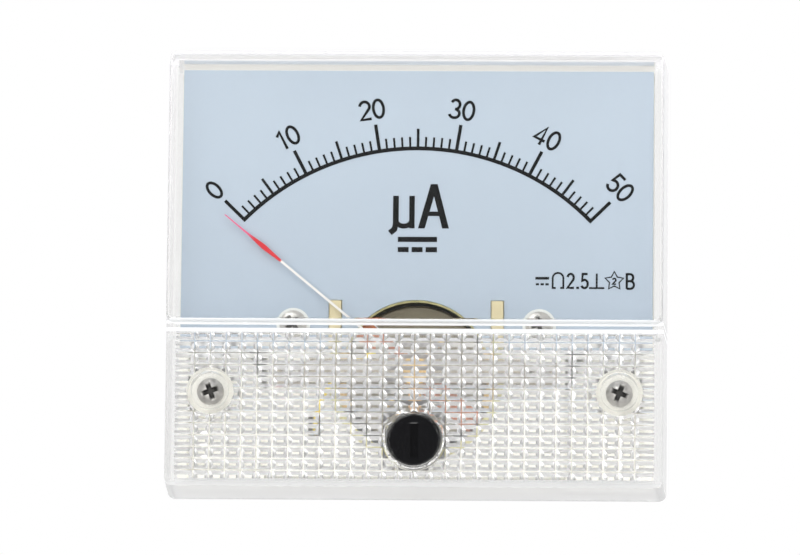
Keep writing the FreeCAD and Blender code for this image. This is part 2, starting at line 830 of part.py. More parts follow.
def rear_bridge():
    outer = rear_leg_x + s.rear_leg
    outline = [
        (-outer, yoke_back), (-rear_leg_x, yoke_back), (-rear_leg_x, rear_bridge_front),
        (rear_leg_x, rear_bridge_front), (rear_leg_x, yoke_back), (outer, yoke_back),
        (outer, rear_bridge_back), (-outer, rear_bridge_back),
    ]
    strip = move(padded("rear_strip", "XY_Plane", outline, s.rear_bridge_width, centred=True), z=pivot_z)
    bore = rod("rear_bridge_bore", s.jewel_radius + s.fit_clearance,
               (rear_bridge_front - HOLE_OVERRUN, rear_bridge_back + HOLE_OVERRUN), 0, pivot_z)
    hole = rod("rear_bridge_hole", s.rear_shank_radius + s.thread_clearance,
               (yoke_back - HOLE_OVERRUN, rear_bridge_back + HOLE_OVERRUN), rear_screw_x, pivot_z)
    return cut("rear_bridge", strip, bore, hole, mirrored(hole))


def rear_bridge_screws():
    head, shank = s.rear_head_radius, s.rear_shank_radius
    outline = [
        (0, yoke_back - s.rear_screw_depth),
        (shank, yoke_back - s.rear_screw_depth),
        (shank, rear_bridge_back),
        (head, rear_bridge_back),
        (head, rear_bridge_back + s.rear_head_height),
        (0, rear_bridge_back + s.rear_head_height),
    ]
    fastener = move(turned("rear_bridge_screw", outline), rear_screw_x, 0, pivot_z)
    return both_sides("rear_bridge_screws", fastener)


def jewel_screw(name, inner, outer, direction):
    """A slotted screw with a cone-shaped seat for the pivot at its inner end."""
    seat = s.jewel_radius / 2
    outline = [
        (0, outer),
        (s.jewel_radius, outer),
        (s.jewel_radius, inner),
        (seat, inner),
        (0, inner + s.jewel_recess * direction),
    ]
    blank = move(turned(name + "_blank", outline), z=pivot_z)
    depths = sorted((outer + HOLE_OVERRUN * direction, outer - s.cross_depth * direction),
                    key=lambda size: size.number)
    half = s.jewel_slot / 2
    slot = box(name + "_slot", (-s.jewel_radius * 2, s.jewel_radius * 2), depths,
               (pivot_z - half, pivot_z + half))
    return cut(name, blank, slot)


def lock_nut(name, y):
    blank = hexagon(name + "_blank", s.lock_nut_radius, y, 0, pivot_z)
    bore = rod(name + "_bore", s.jewel_radius + s.fit_clearance,
               (y[0] - HOLE_OVERRUN, y[1] + HOLE_OVERRUN), 0, pivot_z)
    return cut(name, blank, bore)


front_jewel_back = lever_back + s.jewel_reach
rear_jewel_front = rear_spring_back + s.lever_gap - s.jewel_reach


def bearings():
    rear_nut_back = rear_bridge_back + s.lock_nut_height
    return [
        jewel_screw("front_jewel_screw", front_jewel_back, lock_nut_front - s.jewel_proud, -1),
        lock_nut("front_lock_nut", (lock_nut_front, bridge_front)),
        jewel_screw("rear_jewel_screw", rear_jewel_front, rear_bridge_back + s.rear_jewel_tail, 1),
        lock_nut("rear_lock_nut", (rear_bridge_back, rear_nut_back)),
    ]


def spring_arm(name, y, side):
    """A ring about the jewel screw with a short arm that holds a spring's outer end."""
    bore = s.jewel_radius + s.lever_play
    ring = move(turned(name + "_ring", tube_section(bore, bore + s.lever_ring, y)), z=pivot_z)
    half = s.post_radius * 1.6
    reach = sorted((side * (bore + s.lever_ring / 2), side * (post_reach + s.post_radius)),
                   key=lambda size: size.number)
    return [ring, box(name + "_arm", reach, y, (pivot_z - half, pivot_z + half))]


def zero_lever():
    """Forked lever; the adjuster's pin turns it and it shifts the front spring's outer end."""
    y = (lever_front, lever_back)
    parts = spring_arm("lever", y, 1)
    post = rod("lever_post", s.post_radius, (lever_front, front_spring_back), post_reach, pivot_z)
    bore = s.jewel_radius + s.lever_play
    half = s.lever_width / 2
    slot_half = s.pin_radius + s.fork_play
    slot_top = pivot_z - lever_arm + s.pin_throw + s.pin_radius * 2.4
    slot_end = pivot_z - lever_arm + s.pin_throw - s.pin_radius * 3
    stem = box("lever_stem", (-half, half), y, (slot_top, pivot_z - bore - s.lever_ring / 2))
    fork_half = slot_half + s.fork_wall
    fork = box("lever_fork", (-fork_half, fork_half), y, (slot_end, slot_top + s.fork_wall))
    through = (lever_front - HOLE_OVERRUN, lever_back + HOLE_OVERRUN)
    slot = box("lever_slot", (-slot_half, slot_half), through,
               (slot_end - HOLE_OVERRUN, slot_top - s.fork_wall / 2))
    return cut("zero_lever", fuse("lever_solid", *parts, post, stem, fork), slot)


def rear_spring_arm():
    y = (rear_spring_back + s.lever_gap, rear_arm_back)
    post = rod("rear_post", s.post_radius, (rear_spring_front, rear_arm_back), -post_reach, pivot_z)
    return fuse("rear_spring_arm", *spring_arm("rear_arm", y, -1), post)


def zero_adjuster():
    face = band_front + s.adjuster_recess
    flange = band_front + s.adjuster_boss_length + s.adjuster_play
    back = flange + s.adjuster_flange_thickness
    radius = s.adjuster_radius
    wide = radius + s.adjuster_flange
    outline = [
        (0, face),
        (radius - s.bevel / 2, face),
        (radius, face + s.bevel / 2),
        (radius, flange),
        (wide, flange),
        (wide, back),
        (0, back),
    ]
    disc = move(turned("adjuster_disc", outline), z=adjuster_z)
    pin = rod("adjuster_pin", s.pin_radius, (flange, lever_back + s.pin_reach), 0, adjuster_z + s.pin_throw)
    half_width, half_length = s.adjuster_slot_width / 2, s.adjuster_slot_length / 2
    slot = box("adjuster_slot", (-half_width, half_width),
               (face - HOLE_OVERRUN, face + s.adjuster_slot_depth),
               (adjuster_z - half_length, adjuster_z + half_length))
    return cut("zero_adjuster", fuse("adjuster_solid", disc, pin), slot)


# Moving coil, drawn pointing straight up and then set at its angle of rest

def coil_loop(name, reach, front, back, wall, width):
    """A rectangular loop round the core, standing in the plane of the pointer."""
    outer = box(name + "_outer", (-width / 2, width / 2), (front, back), (-reach - wall, reach + wall))
    inner = box(name + "_inner", (-width, width), (front + wall, back - wall), (-reach, reach))
    return swung(cut(name, outer, inner), z=pivot_z)


def pivot(name, foot, collet_end, shaft_end, tip, thickness):
    outline = [
        (0, foot),
        (s.pivot_foot_radius, foot),
        (s.pivot_foot_radius, foot + thickness),
        (s.collet_radius, foot + thickness),
        (s.collet_radius, collet_end),
        (s.pivot_radius, collet_end),
        (s.pivot_radius, shaft_end),
        (0, tip),
    ]
    return swung(turned(name, outline), z=pivot_z)


def pointer():
    half = s.needle_width / 2
    lance_from = s.needle_length
    swell = s.needle_length + (s.pointer_length - s.needle_length) * 0.31
    waist = s.needle_length + (s.pointer_length - s.needle_length) * 0.58
    right = [
        (half, 0),
        (half, lance_from),
        (s.lance_width / 2, swell),
        (s.tip_width, waist),
        (s.tip_width / 2, s.pointer_length),
    ]
    left = [(-x, z) for x, z in reversed(right)]
    needle = padded("pointer_needle", "XZ_Plane", right + left, s.pointer_thickness, offset=-pointer_back)
    y = (pointer_front, pointer_back)
    hub = rod("pointer_hub", s.hub_radius, y)
    thin = s.balance_width / 2
    side_arm = box("balance_side", (-s.balance_reach, s.balance_reach), y, (-thin, thin))
    tail_arm = box("balance_tail", (-thin, thin), y, (-s.balance_reach, 0))
    bore = rod("pointer_bore", s.collet_radius + s.fit_clearance,
               (pointer_front - HOLE_OVERRUN, pointer_back + HOLE_OVERRUN))
    return swung(cut("pointer", fuse("pointer_solid", needle, hub, side_arm, tail_arm), bore), z=pivot_z)


def counterweights():
    """Three small sleeves on the arms of the balance cross."""
    sleeves = []
    middle = (pointer_front + pointer_back) / 2
    start = s.balance_reach - s.weight_length - s.weight_inset
    for number, (x_side, z_side) in enumerate(((1, 0), (-1, 0), (0, -1))):
        sleeve = doc.addObject("Part::Cylinder", f"weight_{number}")
        hole = doc.addObject("Part::Cylinder", f"weight_hole_{number}")
        bind(sleeve, "Radius", s.weight_radius)
        bind(sleeve, "Height", s.weight_length)
        bind(hole, "Radius", s.balance_width / 2 + s.lever_play)
        bind(hole, "Height", s.balance_reach)
        away = Vector(x_side, 0, z_side)
        for part, reach in ((sleeve, start), (hole, as_size(0))):
            part.Placement = Placement(Vector(), Rotation(Vector(0, 0, 1), away))
            move(part, reach * x_side, middle, reach * z_side)
        sleeves.append(cut(f"weight_sleeve_{number}", sleeve, hole))
    group = doc.addObject("Part::Compound", "counterweights")
    group.Links = sleeves
    return swung(group, z=pivot_z)


def hairspring(name, front, side):
    """A flat spiral strip made of half circles about two centres in turn."""
    growth, strip = s.spring_pitch.number / 2, s.spring_strip.number / 2
    inner_side, outer_side = [], []
    centre, radius, heading = 0.0, spring_inner.number, 1
    for turn in range(SPRING_HALF_TURNS):
        for edge, reach in ((inner_side, radius - strip), (outer_side, radius + strip)):
            start = Vector(centre - heading * side * reach, 0, 0)
            middle = Vector(centre, 0, heading * reach)
            end = Vector(centre + heading * side * reach, 0, 0)
            edge.append(Part.Arc(start, middle, end).toShape())
        centre -= heading * side * growth
        radius += growth
        heading = -heading
    ends = [
        Part.LineSegment(inner_side[place].Vertexes[which].Point, outer_side[place].Vertexes[which].Point)
        for place, which in ((0, 0), (-1, -1))
    ]
    edges = inner_side + outer_side + [line.toShape() for line in ends]
    face = Part.Face(Part.Wire(Part.__sortEdges__(edges)))
    spring = doc.addObject("Part::Feature", name)
    spring.Shape = face.extrude(Vector(0, s.spring_width.number, 0))
    return move(spring, 0, front, pivot_z)


def moving_coil():
    former = coil_loop("coil_former", former_reach, former_front, former_back, s.former_wall, s.former_width)
    winding = coil_loop("coil_winding", winding_reach, winding_front, winding_back, s.winding_depth,
                        s.winding_width)
    front_shaft_end = front_jewel_back - s.jewel_reach
    rear_shaft_end = rear_jewel_front + s.jewel_reach
    return [
        former,
        winding,
        pivot("front_pivot", winding_front, front_spring_front, front_shaft_end,
              front_jewel_back - s.tip_depth, -s.pivot_foot),
        pivot("rear_pivot", winding_back, rear_spring_back, rear_shaft_end,
              rear_jewel_front + s.tip_depth, s.pivot_foot),
        pointer(),
        counterweights(),
        hairspring("front_hairspring", front_spring_front, 1),
        hairspring("rear_hairspring", rear_spring_front, -1),
    ]


# Terminals and lead wires

def terminals():
    head_front = terminal_lug_front - s.terminal_head_height
    end = s.barrel_length + s.terminal_length
    outline = [
        (0, head_front),
        (s.terminal_head_radius, head_front),
        (s.terminal_head_radius, terminal_lug_front),
        (s.terminal_shank_radius, terminal_lug_front),
        (s.terminal_shank_radius, terminal_nut_back + s.terminal_neck),
        (s.terminal_radius, terminal_nut_back + s.terminal_neck),
        (s.terminal_radius, end - s.bevel),
        (s.terminal_radius - s.bevel, end),
        (0, end),
    ]
    stud = move(turned("terminal_stud", outline), terminal_x)
    bore = s.terminal_radius + s.thread_clearance
    washer = move(turned("terminal_washer", tube_section(
        bore, s.terminal_washer_radius, (s.barrel_length, terminal_nut_front))), terminal_x)
    nut_y = (terminal_nut_front, terminal_nut_back)
    nut = cut("terminal_nut",
              hexagon("nut_blank", s.terminal_nut_radius, nut_y, terminal_x),
              rod("nut_bore", s.terminal_shank_radius + s.thread_clearance,
                  (terminal_nut_front - HOLE_OVERRUN, terminal_nut_back + HOLE_OVERRUN), terminal_x))
    y = (terminal_lug_front, case_floor)
    half = s.solder_tab_width / 2
    lug = cut("solder_lug",
              fuse("solder_lug_solid", rod("solder_ring", s.solder_lug_radius, y, terminal_x),
                   box("solder_tab", (terminal_x - half, terminal_x + half), y,
                       (as_size(0), s.solder_tab_reach))),
              rod("solder_hole", bore, (y[0] - HOLE_OVERRUN, y[1] + HOLE_OVERRUN), terminal_x))
    return [
        both_sides("terminal_studs", stud),
        both_sides("terminal_washers", washer),
        both_sides("terminal_nuts", nut),
        both_sides("solder_lugs", lug),
    ]


CORNER_SHARE = 0.45


def lead_wire(name, points):
    """A round wire along straight runs joined by tangent arcs."""
    edges = []
    here = points[0]
    radii = []
    for before, corner, after in zip(points, points[1:], points[2:]):
        run_in, run_out = corner - before, after - corner
        cut_back = CORNER_SHARE * min(run_in.Length, run_out.Length)
        incoming = Vector(run_in).normalize()
        outgoing = Vector(run_out).normalize()
        start, end = corner - incoming * cut_back, corner + outgoing * cut_back
        half_turn = incoming.getAngle(outgoing) / 2
        radius = cut_back / math.tan(half_turn)
        towards = Vector(outgoing - incoming).normalize()
        middle = corner + towards * (radius / math.cos(half_turn) - radius)
        edges.append(Part.LineSegment(here, start).toShape())
        edges.append(Part.Arc(start, middle, end).toShape())
        here = end
        radii.append(round(radius, 1))
    edges.append(Part.LineSegment(here, points[-1]).toShape())
    path = Part.Wire(edges)
    circle = Part.Wire(Part.Circle(points[0], points[1] - points[0], s.wire_radius.number).toShape())
    wire = doc.addObject("Part::Feature", name)
    wire.Shape = path.makePipeShell([circle], True, False)
    ideal = math.pi * s.wire_radius.number**2 * path.Length
    print(f"{name}: bend radii {radii}, volume over section times length {wire.Shape.Volume / ideal:.4f}")
    return wire


def leads():
    """Each lead runs from a bridge to the tab of a solder lug.

    Places between its ends are given in shares of the barrel's radius.
    """
    radius = s.barrel_radius.number
    pivot_height = pivot_z.number
    behind_bridge = bridge_back.number + s.wire_radius.number + s.bridge_gap.number
    lug_y = terminal_lug_front.number - s.wire_radius.number - s.bridge_gap.number
    tab_z = s.solder_tab_reach.number - s.solder_tab_width.number / 2
    side = terminal_x.number
    pass_x, pass_z = lead_pass_x.number, lead_pass_z.number
    tag_end_z = pivot_height + s.tag_reach.number - s.wire_radius.number
    yellow = [
        Vector(-s.tag_offset.number, behind_bridge, tag_end_z),
        Vector(-0.342 * radius, behind_bridge, pivot_height + 0.054 * radius),
        Vector(-0.462 * radius, behind_bridge, pivot_height - 0.075 * radius),
        Vector(-0.525 * radius, behind_bridge + 0.025 * radius, pivot_height - 0.225 * radius),
        Vector(pass_x, behind_bridge + 0.142 * radius, pass_z),
        Vector(pass_x, behind_bridge + 0.358 * radius, pass_z),
        Vector(pass_x, 0.2 * radius, -0.54 * radius),
        Vector(-0.567 * radius, 0.5 * radius, -0.313 * radius),
        Vector(-0.608 * radius, 0.75 * radius, -0.021 * radius),
        Vector(-0.6 * radius, lug_y - 0.063 * radius, 0.192 * radius),
        Vector(-side - 0.092 * radius, lug_y, tab_z),
        Vector(-side, lug_y, tab_z),
    ]
    rear = rear_bridge_back.number + s.wire_radius.number + s.bridge_gap.number
    red = [
        Vector(s.tag_offset.number, rear, pivot_height),
        Vector(0.292 * radius, rear + 0.017 * radius, pivot_height + 0.042 * radius),
        Vector(0.417 * radius, rear + 0.125 * radius, pivot_height + 0.133 * radius),
        Vector(0.525 * radius, 0.604 * radius, -0.125 * radius),
        Vector(0.592 * radius, 0.783 * radius, 0.042 * radius),
        Vector(0.6 * radius, lug_y - 0.054 * radius, 0.2 * radius),
        Vector(side + 0.092 * radius, lug_y, tab_z),
        Vector(side, lug_y, tab_z),
    ]
    return [lead_wire("yellow_lead", yellow), lead_wire("red_lead", red)]


nodes = [
    front_cover(),
    rear_case(),
    dial_plate(),
    *dial_fixings(),
    case_screws(),
    movement_frame(),
    frame_screws(),
    *magnet_system(),
    front_bridge(),
    front_bridge_screws(),
    rear_bridge(),
    rear_bridge_screws(),
    *bearings(),
    zero_lever(),
    rear_spring_arm(),
    zero_adjuster(),
    *moving_coil(),
    *terminals(),
    *leads(),
]
doc.recompute()

failed = [thing.Label for thing in doc.Objects if "Invalid" in thing.State or "Error" in thing.State]
empty = [node.Label for node in nodes if node.Shape.isNull() or not node.Shape.isValid()]
if failed or empty:
    raise RuntimeError(f"failed objects {failed}, empty or invalid shapes {empty}")

os.makedirs("parts", exist_ok=True)
for node in nodes:
    node.Shape.exportStep(f"parts/{node.Label}.step")
    print(f"{node.Label}: {len(node.Shape.Solids)} solids, {node.Shape.Volume:.2f} mm3")
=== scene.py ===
"""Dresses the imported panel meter.

It gives the solids their finishes, prints the dial, winds the coil's wires and turns the screws,
and sets the camera and the light of the photo.
"""

import json
import math

import bmesh
import bpy
import numpy as np
from mathutils import Matrix, Vector


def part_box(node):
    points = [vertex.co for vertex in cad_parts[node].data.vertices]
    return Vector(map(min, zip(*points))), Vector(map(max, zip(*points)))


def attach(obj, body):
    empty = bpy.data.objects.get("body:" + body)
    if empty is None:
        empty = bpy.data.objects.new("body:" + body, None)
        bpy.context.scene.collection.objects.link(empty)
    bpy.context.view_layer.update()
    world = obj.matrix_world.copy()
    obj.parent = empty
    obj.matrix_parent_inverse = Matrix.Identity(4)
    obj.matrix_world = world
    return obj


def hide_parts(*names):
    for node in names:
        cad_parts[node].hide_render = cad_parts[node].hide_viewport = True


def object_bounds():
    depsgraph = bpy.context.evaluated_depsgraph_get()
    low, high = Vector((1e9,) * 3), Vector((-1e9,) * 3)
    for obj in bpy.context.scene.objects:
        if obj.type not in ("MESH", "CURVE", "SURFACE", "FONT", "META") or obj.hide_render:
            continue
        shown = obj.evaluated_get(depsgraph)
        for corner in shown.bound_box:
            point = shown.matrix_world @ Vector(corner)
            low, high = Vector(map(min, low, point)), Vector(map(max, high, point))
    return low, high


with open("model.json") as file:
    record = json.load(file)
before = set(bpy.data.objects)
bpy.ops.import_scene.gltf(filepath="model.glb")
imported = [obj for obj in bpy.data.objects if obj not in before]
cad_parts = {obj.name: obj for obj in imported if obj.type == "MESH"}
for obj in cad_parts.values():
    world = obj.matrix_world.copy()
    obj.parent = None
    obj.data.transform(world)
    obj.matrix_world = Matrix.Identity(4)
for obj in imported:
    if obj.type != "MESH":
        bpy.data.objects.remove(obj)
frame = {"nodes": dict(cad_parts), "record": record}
CAD_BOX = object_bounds()

bl_info = {
    "name": "Panel Meter Dresser",
    "version": (1, 0, 0),
    "blender": (4, 5, 0),
    "location": "View3D > Sidebar > Meter",
    "description": "Builds the printed dial, coil, screws and finishes of a moving-coil meter",
    "category": "Object",
}

MM = 0.001
IMAGE_WIDTH = 800  # pixels that the stage's focal length counts in
SENSOR_WIDTH = 36.0  # of the camera, in mm


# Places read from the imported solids, in millimetres


def node_box(node):
    """Lowest and highest corner of a CAD node, in millimetres."""
    return [[x / MM for x in corner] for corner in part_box(node)]


def joint_place(name):
    """A point on a joint's axis, in millimetres."""
    joint = next(j for j in frame["record"]["behaviour"]["joints"] if j["name"] == name)
    return [x / MM for x in joint["pos_m"]]


LOW, HIGH = ([x / MM for x in corner] for corner in CAD_BOX)
DIAL_LOW, DIAL_HIGH = node_box("dial_plate")
DIAL_FACE = DIAL_LOW[1]
PIVOT = joint_place("pointer_swing")
REST_ANGLE = 50.5  # lean of the pointer at rest, in degrees
STEP_HEIGHT = -3.95  # underside of the cover's step
PRISM_TOP = -4.65  # upper end of the prism field
PRISM_DEPTH = -11.2  # between the lower band's face and its prisms


# Properties


def number(name, description, default):
    return bpy.props.FloatProperty(name=name, description=description, default=default)


def colour(name, description, default):
    return bpy.props.FloatVectorProperty(
        name=name, description=description, default=default, size=3, min=0, max=1, subtype="COLOR")


class MeterDialSizes(bpy.types.PropertyGroup):
    """Sizes of the printed scale, in millimetres"""

    arc_centre_z: number("Arc centre", "Height of the scale arc's centre, in mm", -11.57)
    arc_radius: number("Arc radius", "Radius of the scale line's middle, in mm", 30.96)
    arc_width: number("Arc line", "Width of the scale line, in mm", 0.5)
    half_sweep: number("Half sweep", "Angle from the scale's middle to its ends, in degrees", 45.68)
    major_length: number("Long mark", "Length of the marks at the numerals, in mm", 3.5)
    major_width: number("Long mark width", "Width of the marks at the numerals, in mm", 0.43)
    medium_length: number("Middle mark", "Length of the marks half way between numerals, in mm", 2.55)
    medium_width: number("Middle mark width", "Width of those marks, in mm", 0.35)
    minor_length: number("Short mark", "Length of the unit marks, in mm", 1.5)
    minor_width: number("Short mark width", "Width of the unit marks, in mm", 0.27)
    numeral_radius: number("Numeral radius", "Radius of the numerals' middles, in mm", 36.42)
    numeral_height: number("Numeral height", "Height of the numerals, in mm", 2.62)
    numeral_stroke: number("Numeral stroke", "Width of the numerals' strokes, in mm", 0.37)
    print_height: number("Ink height", "How far the ink stands on the dial, in mm", 0.02)


class MeterColours(bpy.types.PropertyGroup):
    """Colours of the finishes, as linear values"""

    dial: colour("Dial", "Printed ground of the dial", (0.470, 0.546, 0.632))
    # Painted shade: the dial's ground is made darker near its lower edge.
    dial_painted_shade: colour("Dial below", "Ground of the dial near its lower edge", (0.408, 0.478, 0.563))
    ink: colour("Ink", "Print on the dial", (0.003, 0.0033, 0.004))
    cream: colour("Cream moulding", "Base of the case", (0.900, 0.885, 0.815))
    lug: colour("Lugs", "Lugs that come up through the dial", (0.645, 0.565, 0.355))
    clear: colour("Clear moulding", "Tint of the cover", (0.990, 0.990, 0.983))
    black: colour("Black moulding", "Zero adjuster", (0.006, 0.006, 0.007))
    nickel: colour("Nickel", "Screws, nuts and washers", (0.560, 0.545, 0.520))
    zinc: colour("Yellow passivation", "Return ring", (0.620, 0.580, 0.280))
    magnet: colour("Magnet", "Core magnet", (0.220, 0.195, 0.138))
    brass: colour("Brass", "Bridges, terminals and jewel screws", (0.600, 0.400, 0.140))
    aged: colour("Aged brass", "Front bridge behind the prisms", (0.300, 0.270, 0.220))
    copper: colour("Enamelled copper", "Coil", (0.620, 0.190, 0.060))
    bronze: colour("Bronze", "Springs and levers", (0.480, 0.280, 0.110))
    aluminium: colour("Aluminium", "Coil former", (0.700, 0.700, 0.710))
    needle: colour("Needle", "Pale part of the pointer", (0.780, 0.760, 0.740))
    lance: colour("Lance", "Red part of the pointer", (0.600, 0.008, 0.018))
    tip: colour("Tip", "Thin end of the pointer", (0.720, 0.110, 0.240))
    yellow: colour("Yellow insulation", "Front lead", (0.930, 0.700, 0.050))
    red: colour("Red insulation", "Rear lead", (0.620, 0.020, 0.015))
    milky: colour("Milky washer", "Washers under the dial screws", (0.760, 0.780, 0.760))
    steel: colour("Steel", "Pivots", (0.420, 0.420, 0.430))
    floor: colour("Floor", "Ground that the meter stands on", (0.930, 0.930, 0.930))


class MeterStageSizes(bpy.types.PropertyGroup):
    """Camera and light"""

    azimuth: number("Azimuth", "Camera's turn to the right of the face, in degrees", 2.385)
    elevation: number("Elevation", "Camera's height above the face's normal, in degrees", -8.2)
    roll: number("Roll", "Camera's roll, in degrees", 0.616)
    distance: number("Distance", "Camera's distance from its target, in mm", 900.0)
    target_x: number("Target across", "Camera's target along X, in mm", -2.424)
    target_z: number("Target height", "Camera's target along Z, in mm", 3.681)
    focal_pixels: number("Focal length", "Focal length in pixels of the image", 6988.7)
    world_strength: number("World", "Strength of the world's light", 0.85)
    card_strength: number("Card", "Strength of the dark card that the window mirrors", 0.03)
    dim_strength: number("Card through plastic", "Strength of that card seen through the cover", 0.4)
    clear_strength: number("White through plastic", "Strength of the white behind the cover", 0.93)
    card_inner: number("Card inside", "Angle from its middle to where it fades, in degrees", 7.0)
    card_outer: number("Card outside", "Angle from its middle to its edge, in degrees", 11.0)
    key_watts: number("Key lamp", "Power of the large lamp, in watts", 1.2)
    fill_watts: number("Fill lamp", "Power of the side lamp, in watts", 0.4)
    front_watts: number("Front lamp", "Power of the lamp below the camera, in watts", 0.5)


# Shader nodes


class Signal:
    """An output socket; arithmetic on it adds Math nodes."""

    def __init__(self, tree, socket):
        self.tree = tree
        self.socket = socket

    def node(self, kind, settings=None, values=None, output=0):
        return add_node(self.tree, kind, settings, values, output)

    def math(self, operation, *numbers):
        return self.node("ShaderNodeMath", {"operation": operation}, dict(enumerate(numbers)))

    def __add__(self, other):
        return self.math("ADD", self, other)

    def __sub__(self, other):
        return self.math("SUBTRACT", self, other)

    def __rsub__(self, other):
        return self.math("SUBTRACT", other, self)

    def __mul__(self, other):
        return self.math("MULTIPLY", self, other)

    def __or__(self, other):
        """The larger of both values, which joins two masks."""
        return self.math("MAXIMUM", self, other)

    __radd__, __rmul__, __ror__ = __add__, __mul__, __or__

    def __abs__(self):
        return self.math("ABSOLUTE", self)

    def step(self, low, high):
        """0 below low and 1 above high, with a smooth rise between them."""
        return self.node("ShaderNodeMapRange", {"interpolation_type": "SMOOTHSTEP"},
                         {"Value": self, "From Min": low, "From Max": high})

    def between(self, low, high, low_blur, high_blur):
        """1 from low to high and 0 outside, blurred by so much to either side of each."""
        return self.step(low - low_blur, low + low_blur) * (
            1 - self.step(high - high_blur, high + high_blur))

    def mix(self, first, second):
        """The first shader where this value is 0 and the second where it is 1."""
        return self.node("ShaderNodeMixShader", None, {0: self, 1: first, 2: second})

    def blend(self, low, high):
        """A colour from low to high as this value goes from 0 to 1."""
        return self.node("ShaderNodeMix", {"data_type": "RGBA"},
                         {0: self, 6: rgba(low), 7: rgba(high)}, 2)


def rgba(value):
    """A colour as a node's socket takes it, or its signal as it is."""
    return value if isinstance(value, Signal) else (*tuple(value)[:3], 1.0)


def add_node(tree, kind, settings=None, values=None, output=0):
    """A node with its settings made first and then the values or links of its sockets."""
    node = tree.nodes.new(kind)
    for name, value in (settings or {}).items():
        setattr(node, name, value)
    for name, value in (values or {}).items():
        socket = node.inputs[name]
        if isinstance(value, Signal):
            tree.links.new(value.socket, socket)
        else:
            socket.default_value = value
    return Signal(tree, node.outputs[output])


class Finish:
    """A material whose pattern is laid out in millimetres on the object."""

    def __init__(self, name):
        self.material = bpy.data.materials.new(name)
        self.material.use_nodes = True
        self.tree = self.material.node_tree
        self.tree.nodes.clear()
        self.output = self.tree.nodes.new("ShaderNodeOutputMaterial")
        place = add_node(self.tree, "ShaderNodeTexCoord", output=3)
        self.place = add_node(self.tree, "ShaderNodeVectorMath", {"operation": "SCALE"},
                              {0: place, "Scale": 1 / MM})

    def add(self, kind, settings=None, values=None, output=0):
        return add_node(self.tree, kind, settings, values, output)

    def noise(self, scale, detail=3.0, stretch=(1, 1, 1), roughness=0.55):
        place = self.add("ShaderNodeMapping", None, {"Vector": self.place, "Scale": stretch})
        return self.add("ShaderNodeTexNoise", None,
                        {"Vector": place, "Scale": scale, "Detail": detail, "Roughness": roughness})

    def axis(self, number):
        return self.add("ShaderNodeSeparateXYZ", None, {0: self.place}, number)

    def distance(self, point):
        return self.add("ShaderNodeVectorMath", {"operation": "DISTANCE"},
                        {0: self.place, 1: point}, 1)

    def bump(self, height, depth):
        """Height times depth in millimetres, as a normal."""
        return self.add("ShaderNodeBump", None,
                        {"Strength": 1.0, "Distance": depth * MM, "Height": height})

    def surface(self, colour, roughness, normal, **sockets):
        """The material with a plain surface; other sockets are named with _ for each space."""
        values = {"Base Color": colour, "Roughness": roughness, "Normal": normal}
        values.update({name.replace("_", " "): value for name, value in sockets.items()})
        return self.close(self.add("ShaderNodeBsdfPrincipled", None, values))

    def close(self, shader):
        """The material, once that shader is its surface."""
        self.tree.links.new(shader.socket, self.output.inputs["Surface"])
        return self.material


def shade(value, low, high):
    """A value from 0 to 1 mapped to a range."""
    return value * (high - low) + low


def times(tone, factor):
    """A colour made darker or lighter by a factor."""
    return [min(1.0, c * factor) for c in tone]


def varied(finish, tone, amount, scale):
    """The tone, a little darker and lighter in soft patches."""
    return finish.noise(scale).blend(times(tone, 1 - amount), times(tone, 1 + amount))


def moulding(name, tone, rough=0.42, grain=0.01):
    """Satin plastic with faint flow patches and a fine skin."""
    f = Finish(name)
    skin = f.noise(9.0, 4)
    return f.surface(varied(f, tone, 0.05, 0.25), shade(skin, rough - 0.08, rough + 0.1),
                     f.bump(skin, grain), IOR=1.5)


def frame_finish(tones):
    """Cream moulding whose lugs, above the dial's lower edge, are yellower."""
    f = Finish("cream_frame")
    skin = f.noise(9.0, 4)
    lug = f.axis(2).step(DIAL_LOW[2] - 0.4, DIAL_LOW[2] + 0.4)
    patch = shade(f.noise(0.4, 3), 0.94, 1.06)
    tone = lug.blend(tones.cream, tones.lug)
    worn = f.add("ShaderNodeVectorMath", {"operation": "SCALE"}, {0: tone, "Scale": patch})
    return f.surface(worn, shade(skin, 0.42, 0.6), f.bump(skin, 0.006), IOR=1.5)


def metal(name, tone, rough, stretch=(1, 1, 1)):
    """Metal with fine tool marks, patches of tarnish and uneven polish."""
    f = Finish(name)
    marks = f.noise(12.0, 5, stretch)
    patches = f.noise(0.9, 3)
    tarnished = patches.step(0.35, 0.7).blend(tone, times(tone, 0.78))
    return f.surface(tarnished, shade(marks, rough - 0.1, rough + 0.14), f.bump(marks, 0.006),
                     Metallic=1.0)


def screw_finish(name, tone):
    """Plated screw: bright crown with tool marks, and painted shade that darkens its cross recess."""
    f = Finish(name)
    marks = f.noise(14.0, 5)
    patches = f.noise(1.2, 3).step(0.35, 0.7)
    recess = f.add("ShaderNodeAttribute", {"attribute_name": "recess"}, None, 2)
    plated = patches.blend(tone, times(tone, 0.75))
    # Painted shade: the base colour turns dark deep in the cross recess, where shade falls.
    recess_painted_shade = recess.step(0.12, 0.6).blend(plated, times(tone, 0.16))
    return f.surface(recess_painted_shade, shade(recess, 0.24, 0.6) + marks * 0.12, f.bump(marks, 0.008),
                     Metallic=0.9)


def dial_finish(tones):
    """Matt print on sheet metal, with painted shade that makes it darker towards the bottom, and a
    very fine tooth.
    """
    f = Finish("dial_ground")
    rise = f.axis(2).step(DIAL_LOW[2], DIAL_HIGH[2])
    tooth = f.noise(14.0, 4)
    patches = f.noise(0.08, 2)
    # Painted shade: the ground darkens towards the lower edge, mixed with random patches.
    ground = (rise * 0.8 + patches * 0.2).blend(tones.dial_painted_shade, tones.dial)
    return f.surface(ground, shade(tooth, 0.5, 0.68), f.bump(tooth, 0.004), IOR=1.45)


